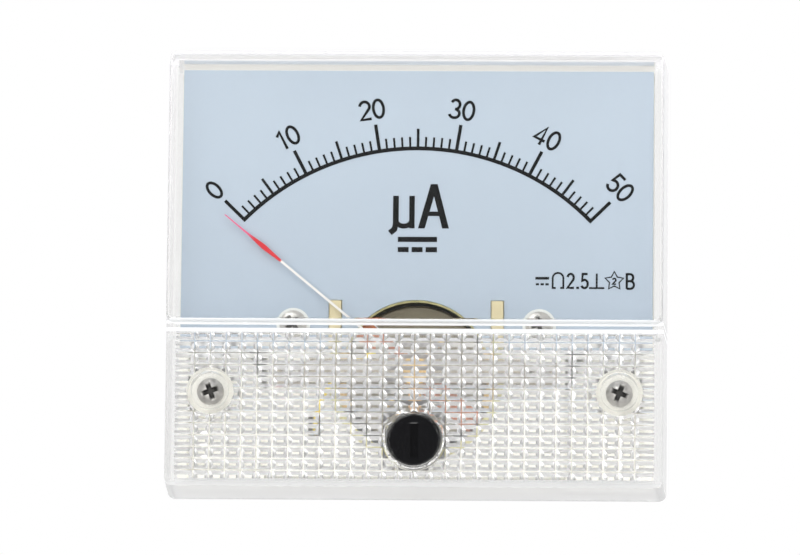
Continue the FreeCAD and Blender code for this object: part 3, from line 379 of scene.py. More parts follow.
def ink_finish(tones):
    """Screen-printed ink: nearly black and matt, with pinholes."""
    f = Finish("dial_ink")
    tooth = f.noise(22.0, 4)
    speckled = tooth.step(0.6, 0.85).blend(tones.ink, [c * 2.2 + 0.002 for c in tones.ink])
    return f.surface(speckled, shade(tooth, 0.5, 0.7), f.bump(tooth, 0.003),
                     Specular_IOR_Level=0.08)


def clear_finish(tones):
    """Clear moulded plastic; lamps shine through it, and it is faintly scuffed.

    Its ledge carries painted highlights: white where the height is from 0.11 mm below to 0.29 mm
    above the step in front, and over the upper 0.44 mm of the prisms. Its outer walls are painted a
    milky white that stands for the light in the clear walls, with painted shade that makes them
    darker towards the bottom, and a slight haze lies on the prisms.
    """
    f = Finish("clear_cover")
    scuffs = f.noise(2.5, 6, (1, 1, 6), 0.7)
    fine = f.noise(16.0, 3)
    glass = f.add("ShaderNodeBsdfPrincipled", None, {
        "Base Color": rgba(tones.clear),
        "Roughness": scuffs.step(0.62, 0.95) * 0.05 + 0.012,
        "IOR": 1.49,
        "Transmission Weight": 1.0,
        "Normal": f.bump(fine, 0.0006),
    })
    across, depth, height = f.axis(0), f.axis(1), f.axis(2)
    # Painted highlights: white bands where the ledge's bevelled edges catch the light.
    lines = (height.between(STEP_HEIGHT - 0.11, STEP_HEIGHT + 0.29, 0.02, 0.07)
             | height.between(PRISM_TOP - 0.44, PRISM_TOP + 0.07, 0.04, 0.03))
    # Painted light: the outer walls take a share of milky white.
    walls = (abs(across).step(HIGH[0] - 1.1, HIGH[0] - 0.3)
             | 1 - height.between(LOW[2] + 1.1, HIGH[2] - 1.0, 0.4, 0.4))
    behind = depth.step(PRISM_DEPTH - 0.1, PRISM_DEPTH + 0.1)
    prisms = (1 - height.step(PRISM_TOP - 0.4, PRISM_TOP)) * behind
    white_share = lines * 0.85 | walls * 0.55 | prisms * 0.12
    # Painted shade: the walls' white darkens towards the bottom.
    wall = height.step(LOW[2], HIGH[2]).blend((0.71, 0.71, 0.715), (0.93, 0.92, 0.95))
    white = f.add("ShaderNodeBsdfPrincipled", None, {
        "Base Color": lines.blend(wall, (0.93, 0.94, 0.95)), "Roughness": 0.35})
    open_way = f.add("ShaderNodeBsdfTransparent", None,
                     {"Color": rgba(times(tones.clear, 0.97))})
    shadow = f.add("ShaderNodeLightPath", output="Is Shadow Ray")
    return f.close(shadow.mix(white_share.mix(glass, white), open_way))


def pointer_finish(tones):
    """White enamel with a red lance, measured out from the pivot."""
    f = Finish("pointer_enamel")
    reach = f.distance(PIVOT)
    grain = f.noise(12.0, 3)
    lance_start, tip_start, tip_full = 22.5, 26.7, 28.6
    body = reach.step(lance_start - 0.15, lance_start + 0.15).blend(tones.needle, tones.lance)
    ends = reach.step(tip_start, tip_full).blend(body, tones.tip)
    return f.surface(ends, shade(grain, 0.3, 0.45), f.bump(grain, 0.003))


def zinc_finish(tones):
    """Yellow passivated steel: half metallic, with soft olive clouds."""
    f = Finish("yellow_zinc")
    clouds = f.noise(0.9, 4)
    grain = f.noise(9.0, 4)
    clouded = clouds.step(0.35, 0.7).blend(tones.zinc, times(tones.zinc, 0.78))
    return f.surface(clouded, shade(grain, 0.35, 0.52), f.bump(grain, 0.006), Metallic=0.35)


def magnet_finish(tones):
    """Ground magnet face with concentric turning marks."""
    f = Finish("ground_magnet")
    centred = f.add("ShaderNodeMapping", None,
                    {"Vector": f.place, "Location": (0.0, 0.0, -PIVOT[2])})
    rings = f.add("ShaderNodeTexWave", {"wave_type": "RINGS", "rings_direction": "Y"},
                  {"Vector": centred, "Scale": 1.1, "Distortion": 0.8, "Detail": 2.0})
    grain = f.noise(7.0, 4)
    tone = grain.blend(times(tones.magnet, 0.8), tones.magnet)
    return f.surface(tone, shade(rings, 0.38, 0.56), f.bump(rings, 0.006), Metallic=0.75)


def lacquer(name, tone, rough):
    """Glossy dark or coloured skin with light orange peel."""
    f = Finish(name)
    peel = f.noise(3.0, 3)
    return f.surface(varied(f, tone, 0.12, 1.2), shade(peel, rough, rough + 0.08),
                     f.bump(peel, 0.004), Coat_Weight=0.4, Coat_Roughness=0.08, IOR=1.5)


def copper_finish(tones):
    """Enamelled wire: copper under a clear orange film that varies from turn to turn."""
    f = Finish("enamelled_wire")
    turns = f.noise(1.6, 4, (3, 1, 1))
    film = turns.step(0.3, 0.7).blend(times(tones.copper, 0.55), tones.copper)
    return f.surface(film, shade(turns, 0.25, 0.42), f.bump(turns, 0.01), Metallic=0.7,
                     Coat_Weight=0.5, Coat_Roughness=0.12)


# Surfaces


MITRE_LIMIT = 0.62  # least cosine of half a stroke's bend, so that sharp corners are cut short


def new_object(name, data):
    """An object in the scene's own collection."""
    thing = bpy.data.objects.new(name, data)
    bpy.context.scene.collection.objects.link(thing)
    return thing


def new_mesh(name, points, faces, finish):
    """A mesh object at the origin from points in millimetres."""
    mesh = bpy.data.meshes.new(name)
    mesh.from_pydata((np.asarray(points).reshape(-1, 3) * MM).tolist(), [], faces)
    mesh.materials.append(finish)
    return new_object(name, mesh)


def put_mesh(name, points, faces, finish, body, smooth=True):
    """A mesh object that rides on a body."""
    thing = new_mesh(name, points, faces, finish)
    thing.data.polygons.foreach_set("use_smooth", np.full(len(faces), smooth))
    thing.data.update()
    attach(thing, body)
    return thing


def grid_faces(rows, columns, close_rows, close_columns):
    """Quads of a grid of points, closed round either way where asked."""
    row_steps = np.arange(rows if close_rows else rows - 1)
    column_steps = np.arange(columns if close_columns else columns - 1)
    u, v = np.meshgrid(row_steps, column_steps, indexing="ij")
    after_u, after_v = (u + 1) % rows, (v + 1) % columns
    quads = np.stack([u * columns + v, after_u * columns + v, after_u * columns + after_v,
                      u * columns + after_v], axis=-1)
    return quads.reshape(-1, 4).tolist()


def ways(moves):
    """Each move divided by its length."""
    return moves / np.linalg.norm(moves, axis=1, keepdims=True)


def bars(starts, ends, widths, front, back):
    """Flat bars in the dial's plane, all at once.

    Each bar runs from its start to its end; its corners are the ends moved half a width
    along the direction at right angles, at the front and at the back.
    """
    along = ways(ends - starts)
    aside = np.stack([-along[:, 1], along[:, 0]], axis=1) * widths[:, None] / 2
    corners = np.stack([starts - aside, ends - aside, ends + aside, starts + aside], axis=1)
    both = np.concatenate([with_depth(corners, front), with_depth(corners, back)], axis=1)
    box = np.array([[0, 1, 2, 3], [7, 6, 5, 4], [0, 4, 5, 1], [1, 5, 6, 2], [2, 6, 7, 3],
                    [3, 7, 4, 0]])
    faces = (box[None] + np.arange(len(starts))[:, None, None] * 8).reshape(-1, 4)
    return both.reshape(-1, 3), faces.tolist()


def with_depth(flat, y):
    """Points across the dial with a depth put between their two numbers."""
    flat = np.asarray(flat, float)
    return np.stack([flat[..., 0], np.full(flat.shape[:-1], y), flat[..., 1]], axis=-1)


def ribbon(path, width, front, back, closed=False):
    """A flat stroke along a path in the dial's plane.

    The rectangular profile is carried along the path: at each point the edges lie half a
    width to either side, along the mitre between the two runs that meet there.
    """
    path = np.asarray(path, float)
    if closed:
        before, after = np.roll(path, 1, axis=0), np.roll(path, -1, axis=0)
    else:
        before = np.vstack([path[:1] * 2 - path[1:2], path[:-1]])
        after = np.vstack([path[1:], path[-1:] * 2 - path[-2:-1]])
    into, out = ways(path - before), ways(after - path)
    mitre = ways(into + out)
    aside = np.stack([-mitre[:, 1], mitre[:, 0]], axis=1)
    stretch = np.clip((mitre * into).sum(axis=1), MITRE_LIMIT, 1)
    aside *= (width / 2 / stretch)[:, None]
    left, right = path + aside, path - aside
    ring = np.stack([with_depth(left, front), with_depth(right, front), with_depth(right, back),
                     with_depth(left, back)], axis=1)
    count = len(path)
    faces = grid_faces(count, 4, closed, True)
    if not closed:
        faces += [[0, 1, 2, 3], [count * 4 - 1, count * 4 - 2, count * 4 - 3, count * 4 - 4]]
    return ring.reshape(-1, 3), faces


def plates(outlines, front, back):
    """Flat plates: each outline in the dial's plane is carried from the front to the back."""
    shapes = []
    for outline in outlines:
        count = len(outline)
        rims = np.concatenate([with_depth(outline, front), with_depth(outline, back)])
        caps = [list(range(count)), list(range(2 * count - 1, count - 1, -1))]
        shapes.append((rims, grid_faces(2, count, False, True) + caps))
    return joined(shapes)


def joined(shapes):
    """Several sets of points and faces as one."""
    points, faces, start = [], [], 0
    for some_points, some_faces in shapes:
        points.append(some_points)
        faces += [[corner + start for corner in face] for face in some_faces]
        start += len(some_points)
    return np.concatenate(points), faces


def arc_path(centre, radii, start, end, count):
    """Points on an ellipse between two angles in degrees, counted anticlockwise from the right.

    Each is the centre plus the radii times the cosine and the sine of its angle.
    """
    angles = np.radians(np.linspace(start, end, count))
    return centre + np.stack([np.cos(angles), np.sin(angles)], axis=1) * radii


def glyph_paths():
    """Width and strokes of each character in a box one high; a stroke is a path and if it closes."""
    return {
        "0": (0.60, [(arc_path((0.30, 0.5), (0.25, 0.44), 90, 450, 33)[:-1], True)]),
        "1": (0.44, [([(0.06, 0.74), (0.27, 0.93), (0.27, 0.0)], False)]),
        "2": (0.60, [(np.vstack([arc_path((0.30, 0.70), 0.24, 170, -38, 18),
                                 [(0.05, 0.06), (0.56, 0.06)]]), False)]),
        "3": (0.60, [(arc_path((0.28, 0.71), (0.21, 0.23), 160, -90, 18), False),
                     (arc_path((0.28, 0.27), (0.25, 0.22), 90, -160, 20), False)]),
        "4": (0.62, [([(0.42, 0.0), (0.42, 0.92), (0.04, 0.26), (0.60, 0.26)], False)]),
        "5": (0.60, [(np.vstack([[(0.52, 0.94), (0.14, 0.94), (0.09, 0.50)],
                                 arc_path((0.28, 0.31), (0.25, 0.26), 125, -155, 22)]), False)]),
        ".": (0.20, [([(-0.01, 0.06), (0.21, 0.06)], False)]),
        "B": (0.60, [(np.vstack([[(0.08, 0.0), (0.08, 0.94)],
                                 arc_path((0.30, 0.72), (0.20, 0.22), 90, -90, 12)]), False),
                     (np.vstack([[(0.08, 0.50)], arc_path((0.32, 0.26), (0.23, 0.24), 90, -90, 14),
                                 [(0.08, 0.02)]]), False)]),
    }


def lettering(text, middle, height, stroke, turn, front, back, gap=0.12, squeeze=1.0):
    """Characters centred on a place and turned clockwise by an angle in degrees."""
    glyphs = glyph_paths()
    widths = [glyphs[c][0] * squeeze for c in text]
    total = sum(widths) + gap * (len(text) - 1)
    angle = math.radians(turn)
    turned = np.array([[math.cos(angle), -math.sin(angle)], [math.sin(angle), math.cos(angle)]])
    shapes, left = [], -total / 2
    for character, width in zip(text, widths):
        for path, closed in glyphs[character][1]:
            placed = (np.array(path) * [squeeze, 1] + [left, -0.5]) * height
            shapes.append(ribbon(placed @ turned + middle, stroke, front, back, closed))
        left += width + gap
    return joined(shapes)


def wound_loop(name, finish, body, front, back, reach, depth, width, wires, middle, angle):
    """Coil wires round a rectangular loop.

    The profile across the loop is a row of half-round wires on a flat back; it is carried
    round the rounded rectangle in the plane of depth and reach, then turned about the pivot.
    """
    corner, steps, steps_per_wire = 0.5, 7, 6
    rear, fore, far = back - corner, front + corner, reach - corner
    path = np.repeat([(rear, far), (fore, far), (fore, -far), (rear, -far)], steps, axis=0)
    turns = np.linspace(0, np.pi / 2, steps) + np.arange(4)[:, None] * np.pi / 2
    outward = np.stack([np.cos(turns), np.sin(turns)], axis=-1).reshape(-1, 2)
    across = np.linspace(-width / 2, width / 2, wires * steps_per_wire + 1)
    wire = width / wires
    swell = np.sqrt(np.clip(1 - (((across + width / 2) % wire) / wire * 2 - 1) ** 2, 0, 1)) * wire / 2
    outer = corner - wire / 2 + swell
    lateral = np.append(across, [width / 2, -width / 2])
    radial = np.append(outer, [corner - depth] * 2)
    ring = path[:, None, :] + outward[:, None, :] * radial[None, :, None]
    x = np.broadcast_to(lateral, ring.shape[:2])
    y, r = ring[..., 0], ring[..., 1]
    turn = math.radians(angle)
    placed = np.stack([middle[0] + x * math.cos(turn) - r * math.sin(turn), y,
                       middle[2] + x * math.sin(turn) + r * math.cos(turn)], axis=-1)
    faces = grid_faces(*placed.shape[:2], True, True)
    return outward_faces(put_mesh(name, placed, faces, finish, body))


def outward_faces(thing):
    """Turn a closed mesh's faces outwards."""
    shape = bmesh.new()
    shape.from_mesh(thing.data)
    bmesh.ops.remove_doubles(shape, verts=shape.verts, dist=1e-7)
    bmesh.ops.recalc_face_normals(shape, faces=shape.faces)
    shape.to_mesh(thing.data)
    shape.free()
    return thing


def screw_surface(x, z, profile, crown, cross, twist, thread=None):
    """A screw as one surface of angle and distance along its outline.

    The outline gives radius and depth. Points on the crown sink by the depth of the cross,
    where either turned coordinate is small. Along the thread the radius rises and falls
    with depth divided by pitch, less the angle in turns, which winds the ridge into a helix.
    """
    tip, edge, roundness, recess_slope = 0.02, 0.06, 2.6, 0.55
    end_share, end_taper = 0.8, 0.6
    around = np.linspace(0, 2 * np.pi, 73)[:-1]
    crown_radius = np.linspace(tip, crown["radius"], 26)
    radius = np.concatenate([crown_radius, [r for r, _ in profile]])
    swell = crown["rise"] * (crown_radius / crown["radius"]) ** roundness
    depth = np.concatenate([crown["front"] + swell, [y for _, y in profile]])
    if thread:
        ridge = np.arange(thread["start"], thread["end"], thread["pitch"] / 6)
        radius = np.concatenate([radius, np.full(len(ridge), thread["radius"]),
                                 [thread["radius"] * end_share, 0.01]])
        depth = np.concatenate([depth, ridge, [thread["end"], thread["end"]]])
    r, a = np.meshgrid(radius, around, indexing="ij")
    y = np.broadcast_to(depth[:, None], r.shape).copy()
    if thread:
        inside = (y >= thread["start"]) & (y < thread["end"]) & (r == thread["radius"])
        phase = (y / thread["pitch"] - a / (2 * np.pi)) % 1
        fade = np.clip((thread["end"] - y) / thread["pitch"], 0, 1)
        cut = np.abs(phase * 2 - 1) * thread["depth"]
        r = np.where(inside, r - cut - (1 - fade) * thread["depth"] * end_taper, r)
    local_x, local_z = r * np.cos(a), r * np.sin(a)
    angle = math.radians(twist)
    u = local_x * math.cos(angle) + local_z * math.sin(angle)
    v = local_z * math.cos(angle) - local_x * math.sin(angle)
    half, reach = cross["width"] / 2, crown["radius"] * cross["share"]

    def arm(across, along):
        """1 inside one bar of the cross, less towards its ends and 0 outside."""
        beside = np.clip((half - np.abs(across)) / edge + 0.5, 0, 1)
        return beside * np.clip((reach - np.abs(along)) / (reach * recess_slope), 0, 1)

    sink = np.maximum(arm(u, v), arm(v, u)) * cross["depth"]
    on_crown = np.arange(len(radius))[:, None] < len(crown_radius)
    y = y + np.where(on_crown, sink, 0)
    share = np.where(on_crown, sink / cross["depth"], 0)
    return np.stack([x + local_x, y, z + local_z], axis=-1), share


SHARP_ANGLE = 40  # faces of a screw that meet at more degrees keep a sharp edge


def add_screws(name, finish, side, height, profile, crown, cross, twists, thread=None):
    """A left and a right screw as one piece of the case.

    The attribute recess says how deep in the cross a point is, from 0 to 1.
    """
    shapes, shares = [], []
    for x, twist in zip((-side, side), twists):
        points, share = screw_surface(x, height, profile, crown, cross, twist, thread)
        shares.append(share.reshape(-1))
        rows, columns = points.shape[:2]
        corners = np.arange(rows * columns).reshape(rows, columns)
        caps = [corners[0].tolist(), corners[-1, ::-1].tolist()]
        shapes.append((points.reshape(-1, 3), grid_faces(rows, columns, False, True) + caps))
    thing = put_mesh(name, *joined(shapes), finish, "case")
    recess = thing.data.attributes.new("recess", "FLOAT", "POINT")
    recess.data.foreach_set("value", np.concatenate(shares).astype(np.float32))
    outward_faces(thing)
    thing.data.set_sharp_from_angle(angle=math.radians(SHARP_ANGLE))
    return thing


# Operators


FINISHES = {}


def finish_of(name):
    """The material of that name, which the first operator made."""
    if name not in FINISHES:
        raise RuntimeError("run Finish the Solids first")
    return FINISHES[name]


LAYER = 0.002  # strokes that cross stand this much in front of each other, in mm
INK_ROOT = 0.01  # how far the ink reaches into the dial, in mm


def ink_depths(sizes):
    """Depths of the ink's face and of its back inside the dial."""
    return DIAL_FACE - sizes.print_height, DIAL_FACE + INK_ROOT


def print_piece(name, shapes, finish="ink"):
    """Several flat shapes as one piece of the dial."""
    piece = outward_faces(put_mesh(name, *joined(shapes), finish_of(finish), "case", False))


FINISHED_NODES = {
    "clear": "front_cover",
    "cream": "rear_case",
    "cream_inner": "movement_frame",
    "dial": "dial_plate",
    "milky": "dial_washers",
    "nickel": "frame_screws front_bridge_screws rear_bridge_screws terminal_washers terminal_nuts"
              " case_screws dial_screws",
    "zinc": "yoke_ring",
    "magnet": "core_magnet",
    "brass": "core_spacers rear_bridge front_jewel_screw front_lock_nut rear_jewel_screw"
             " rear_lock_nut counterweights solder_lugs terminal_studs",
    "aged": "front_bridge",
    "bronze": "zero_lever rear_spring_arm front_hairspring rear_hairspring",
    "aluminium": "coil_former",
    "steel": "front_pivot rear_pivot",
    "pointer": "pointer",
    "black": "zero_adjuster",
    "yellow": "yellow_lead",
    "red": "red_lead",
    "copper": "coil_winding",
}


class METER_OT_finish_solids(bpy.types.Operator):
    """Give every CAD solid its own finish"""

    bl_idname = "meter.finish_solids"
    bl_label = "Finish the Solids"

    def execute(self, context):
        tones = context.scene.meter_colours
        FINISHES.update({
            "clear": clear_finish(tones),
            "cream": moulding("cream_moulding", tones.cream),
            "cream_inner": frame_finish(tones),
            "dial": dial_finish(tones),
            "ink": ink_finish(tones),
            "milky": moulding("milky_washer", tones.milky, 0.3, 0.003),
            "nickel": metal("nickel_plate", tones.nickel, 0.26),
            "screw": screw_finish("plated_screw", tones.nickel),
            "zinc": zinc_finish(tones),
            "magnet": magnet_finish(tones),
            "brass": metal("satin_brass", tones.brass, 0.3),
            "aged": metal("aged_brass", tones.aged, 0.42),
            "bronze": metal("rolled_bronze", tones.bronze, 0.32, (1, 1, 5)),
            "aluminium": metal("thin_aluminium", tones.aluminium, 0.34, (1, 5, 1)),
            "steel": metal("hardened_steel", tones.steel, 0.2),
            "pointer": pointer_finish(tones),
            "black": lacquer("black_moulding", tones.black, 0.1),
            "yellow": lacquer("yellow_insulation", tones.yellow, 0.3),
            "red": lacquer("red_insulation", tones.red, 0.3),
            "copper": copper_finish(tones),
        })
        for finish, nodes in FINISHED_NODES.items():
            for node in nodes.split():
                solid = frame["nodes"][node]
                if not solid.material_slots:
                    solid.data.materials.append(None)
                for place in solid.material_slots:
                    place.material = FINISHES[finish]
        return {"FINISHED"}


class METER_OT_print_scale(bpy.types.Operator):
    """Print the scale line and its fifty divisions, and square the dial's upper corners"""

    bl_idname = "meter.print_scale"
    bl_label = "Print the Scale"

    def execute(self, context):
        sizes = context.scene.meter_dial
        front, back = ink_depths(sizes)
        centre = np.array([0.0, sizes.arc_centre_z])
        sweep = sizes.half_sweep
        path = arc_path(centre, sizes.arc_radius, 90 + sweep, 90 - sweep, 121)

        units = np.arange(51)
        angles = np.radians(-sweep + units * sweep * 2 / 50)
        heading = np.stack([np.sin(angles), np.cos(angles)], axis=1)
        long, middle = units % 10 == 0, units % 5 == 0
        reach = np.where(long, sizes.major_length,
                         np.where(middle, sizes.medium_length, sizes.minor_length))
        widths = np.where(long, sizes.major_width,
                          np.where(middle, sizes.medium_width, sizes.minor_width))
        starts = centre + heading * (sizes.arc_radius - sizes.arc_width / 2)
        ends = centre + heading * (sizes.arc_radius + reach)[:, None]
        print_piece("scale_print", [ribbon(path, sizes.arc_width, front, back),
                                    bars(starts, ends, widths, front - LAYER, back)])

        side, rear, top = DIAL_HIGH
        size, proud = 1.3, 0.005
        corners = [[(-side, top - size), (size - side, top), (-side, top)],
                   [(side - size, top), (side, top - size), (side, top)]]
        print_piece("dial_corners", [plates(corners, DIAL_FACE - proud, rear - proud)], "dial")
        return {"FINISHED"}


class METER_OT_print_numerals(bpy.types.Operator):
    """Print the numerals 0 to 50 outside the scale"""

    bl_idname = "meter.print_numerals"
    bl_label = "Print the Numerals"

    def execute(self, context):
        sizes = context.scene.meter_dial
        front, back = ink_depths(sizes)
        centre = np.array([0.0, sizes.arc_centre_z])
        nudges = np.array([(0, 0), (0.08, 0), (-0.2, 0), (-0.18, 0.03), (-0.18, 0.08), (-0.1, 0.5)])
        shapes = []
        for number, nudge in enumerate(nudges):
            angle = -sizes.half_sweep + number * sizes.half_sweep * 2 / 5
            heading = np.array([math.sin(math.radians(angle)), math.cos(math.radians(angle))])
            place = centre + heading * sizes.numeral_radius + nudge
            shapes.append(lettering(str(number * 10), place, sizes.numeral_height,
                                    sizes.numeral_stroke, angle, front, back, 0.06))
        print_piece("numeral_print", shapes)
        return {"FINISHED"}


class METER_OT_print_unit(bpy.types.Operator):
    """Print the unit and the direct-current sign below it"""

    bl_idname = "meter.print_unit"
    bl_label = "Print the Unit"

    def execute(self, context):
        front, back = ink_depths(context.scene.meter_dial)
        second, third = front - LAYER, front - 2 * LAYER
        base, top, bowl_top = 9.03, 14.77, 13.24
        left_leg = [(0.09, base), (0.96, base), (2.56, top), (1.69, top)]
        right_leg = [(2.56, top), (1.69, top), (3.20, base), (4.06, base)]
        crossbar = [(1.1, 10.63), (3.06, 10.63), (2.9, 11.21), (1.26, 11.21)]
        tail = [(-2.75, bowl_top), (-2.75, 9.6), (-2.92, 8.9), (-3.5, 8.42)]
        bowl = arc_path((-1.72, 10.17), (1.03, 0.86), 180, 360, 15)
        shapes = [
            plates([left_leg], front, back),
            plates([right_leg], second, back),
            plates([crossbar], third, back),
            ribbon(tail, 0.74, front, back),
            ribbon(bowl, 0.64, second, back),
            ribbon([(-0.69, bowl_top), (-0.69, base)], 0.7, third, back),
        ]
        bar, dashes = 7.6, 6.28
        for start, end, z in ((-2.46, 2.56, bar), (-2.46, -1.07, dashes), (-0.69, 0.72, dashes),
                              (1.11, 2.56, dashes)):
            shapes.append(ribbon([(start, z), (end, z)], 0.66, front, back))
        print_piece("unit_print", shapes)
        return {"FINISHED"}


class METER_OT_print_symbols(bpy.types.Operator):
    """Print the row of instrument symbols at the lower right"""

    bl_idname = "meter.print_symbols"
    bl_label = "Print the Symbols"

    def execute(self, context):
        front, back = ink_depths(context.scene.meter_dial)
        foot, middle, tall = 1.42, 2.34, 2.04
        stroke, heavy, star_stroke, star_middle = 0.24, 0.3, 0.17, 25.24
        turns = np.radians(90 + np.arange(10) * 36)
        reach = np.where(np.arange(10) % 2 == 0, 1.23, 0.64)
        star = np.stack([star_middle + reach * np.cos(turns), middle + reach * np.sin(turns)], axis=1)
        horseshoe = np.vstack([[(17.78, foot), (17.38, foot)],
                               arc_path((18.06, 2.68), 0.68, 180, 0, 13),
                               [(18.74, foot), (18.34, foot)]])
        shapes = [
            ribbon([(15.16, 2.66), (16.92, 2.66)], 0.34, front, back),
            *(ribbon([(start, 1.88), (end, 1.88)], 0.27, front, back)
              for start, end in ((15.22, 15.64), (15.82, 16.26), (16.44, 16.88))),
            ribbon(horseshoe, stroke, front, back),
            lettering("2.5", (20.57, middle), tall, heavy, 0, front, back, squeeze=0.8),
            ribbon([(22.02, foot), (23.98, foot)], stroke, front, back),
            ribbon([(23.0, foot), (23.0, 3.3)], stroke, front - LAYER, back),
            ribbon(star, star_stroke, front, back, closed=True),
            lettering("2", (star_middle, middle - 0.03), 0.82, 0.22, 0, front, back),
            lettering("B", (27.26, middle), tall, heavy, 0, front, back, squeeze=0.95),
        ]
        print_piece("symbol_print", shapes)
        return {"FINISHED"}


class METER_OT_set_arch_rim(bpy.types.Operator):
    """Set the plated strip behind the edge of the dial's arch"""

    bl_idname = "meter.set_arch_rim"
    bl_label = "Set the Arch Rim"

    def execute(self, context):
        front, radius, width, thickness = DIAL_HIGH[1], 9.62, 0.74, 0.16
        path = arc_path((0.0, PIVOT[2]), radius, 160, 20, 61)
        strip = ribbon(path, width, front, front + thickness)
        rim = outward_faces(put_mesh("arch_rim", *strip, finish_of("zinc"), "case", False))
        return {"FINISHED"}


class METER_OT_wind_coil(bpy.types.Operator):
    """Wind the coil's wires round its former"""

    bl_idname = "meter.wind_coil"
    bl_label = "Wind the Coil"

    def execute(self, context):
        low, high = node_box("coil_winding")
        reach, depth, width, wires = 10.0, 0.55, 2.8, 16
        coil = wound_loop("coil_wires", finish_of("copper"), "moving_coil", low[1], high[1],
                          reach, depth, width, wires, PIVOT, REST_ANGLE)
        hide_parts("coil_winding")
        return {"FINISHED"}


class METER_OT_drive_screws(bpy.types.Operator):
    """Turn the cross-recess screws and threaded posts"""

    bl_idname = "meter.drive_screws"
    bl_label = "Drive the Screws"

    def execute(self, context):
        plated, brass = finish_of("screw"), finish_of("brass")
        low, high = node_box("case_screws")
        seat, head, neck, core, height = -9.2, 1.7, 1.2, 1.0, -12.5
        side = high[0] - head
        case = add_screws(
            "face_screws", plated, side, height,
            [(head, seat), (neck, seat), (neck, 0.0), (core, 0.0)],
            {"front": low[1], "rise": 0.75, "radius": head},
            {"width": 0.55, "share": 0.72, "depth": 0.8}, (20, -22),
            {"start": 0.1, "end": high[1], "radius": core, "pitch": 0.45, "depth": 0.16})
        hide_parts("case_screws")

        low, high = node_box("dial_screws")
        seat, head, core, height, end = -6.8, 1.75, 0.8, -3.5, high[1]
        side = high[0] - head
        dial = add_screws(
            "scale_screws", plated, side, height,
            [(head, seat), (core, seat), (core, end), (0.02, end)],
            {"front": low[1], "rise": 0.45, "radius": head},
            {"width": 0.5, "share": 0.72, "depth": 0.55}, (35, 12))
        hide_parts("dial_screws")

        low, high = node_box("terminal_studs")
        seat, head, neck, core, shoulder = 23.5, 3.4, 1.8, 2.0, 30.4
        side = high[0] - head
        posts = add_screws(
            "threaded_posts", brass, side, 0.0,
            [(head, seat), (neck, seat), (neck, shoulder), (core, shoulder)],
            {"front": low[1], "rise": 0.2, "radius": head},
            {"width": 0.5, "share": 0.2, "depth": 0.01}, (0, 0),
            {"start": 30.5, "end": high[1], "radius": core, "pitch": 0.7, "depth": 0.3})
        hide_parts("terminal_studs")
        return {"FINISHED"}


# Name, place and width in millimetres, and the stage's property with the power, of each lamp
LAMPS = (
    ("key_lamp", (-220, -420, 420), 380, "key_watts"),
    ("fill_lamp", (420, -260, 120), 300, "fill_watts"),
    ("front_lamp", (-60, -560, -170), 220, "front_watts"),
)


class METER_OT_set_stage(bpy.types.Operator):
    """Set up the camera, the lamps, the world and the floor"""

    bl_idname = "meter.set_stage"
    bl_label = "Set the Stage"

    def execute(self, context):
        scene, sizes = context.scene, context.scene.meter_stage
        add_camera(scene, sizes)
        add_world(scene, sizes)
        for name, place, width, power in LAMPS:
            add_lamp(name, place, width, getattr(sizes, power))
        add_floor(scene.meter_colours.floor, LOW[2])
        scene.view_settings.view_transform = "Standard"
        return {"FINISHED"}


def view_axes(sizes):
    """The camera's ways forward, to the right and up."""
    azimuth, elevation, roll = map(math.radians, (sizes.azimuth, sizes.elevation, sizes.roll))
    forward = Vector((-math.sin(azimuth) * math.cos(elevation),
                      math.cos(azimuth) * math.cos(elevation), -math.sin(elevation)))
    level = Vector((math.cos(azimuth), math.sin(azimuth), 0))
    upright = level.cross(forward)
    right = level * math.cos(roll) + upright * math.sin(roll)
    up = upright * math.cos(roll) - level * math.sin(roll)
    return forward, right, up


def add_camera(scene, sizes):
    """A camera that looks along the forward axis at the target."""
    forward, right, up = view_axes(sizes)
    place = Vector((sizes.target_x, 0, sizes.target_z)) - forward * sizes.distance
    data = bpy.data.cameras.new("photo_camera")
    data.sensor_width = SENSOR_WIDTH
    data.lens = sizes.focal_pixels * SENSOR_WIDTH / IMAGE_WIDTH
    data.clip_start, data.clip_end = 0.05, 20
    camera = new_object("photo_camera", data)
    camera.matrix_world = Matrix((
        (right.x, up.x, -forward.x, place.x * MM),
        (right.y, up.y, -forward.y, place.y * MM),
        (right.z, up.z, -forward.z, place.z * MM),
        (0, 0, 0, 1),
    ))
    scene.camera = camera


def add_world(scene, sizes):
    """A world that lights plainly and shows white, but for a dark card beside the camera.

    The card stands where the flat window mirrors the photo's view. Only reflections and the
    cover's prisms show it: its share rises smoothly from 0 to 1 as the cosine of the angle from
    its middle goes from that of its outer to that of its inner reach.
    """
    world = bpy.data.worlds.new("studio")
    world.use_nodes = True
    tree = world.node_tree
    tree.nodes.clear()
    output = tree.nodes.new("ShaderNodeOutputWorld")
    rays = tree.nodes.new("ShaderNodeLightPath")
    camera, gloss, through = (Signal(tree, rays.outputs[name]) for name in
                              ("Is Camera Ray", "Is Glossy Ray", "Is Transmission Ray"))
    light, card, dim_card, clear, white = (
        add_node(tree, "ShaderNodeBackground", None, {"Color": (1, 1, 1, 1), "Strength": strength})
        for strength in (sizes.world_strength, sizes.card_strength, sizes.dim_strength,
                         sizes.clear_strength, 1.0))
    direction = add_node(tree, "ShaderNodeTexCoord", output=3)
    forward = view_axes(sizes)[0]
    nearness = add_node(tree, "ShaderNodeVectorMath", {"operation": "DOT_PRODUCT"},
                        {0: direction, 1: (forward.x, -forward.y, forward.z)}, 1)
    outer, inner = (math.cos(math.radians(reach)) for reach in (sizes.card_outer, sizes.card_inner))
    around = through.mix((camera | gloss).mix(light, white), clear)
    dark = through.mix(card, dim_card)
    mixed = (gloss * nearness.step(outer, inner)).mix(around, dark)
    tree.links.new(mixed.socket, output.inputs["Surface"])
    scene.world = world


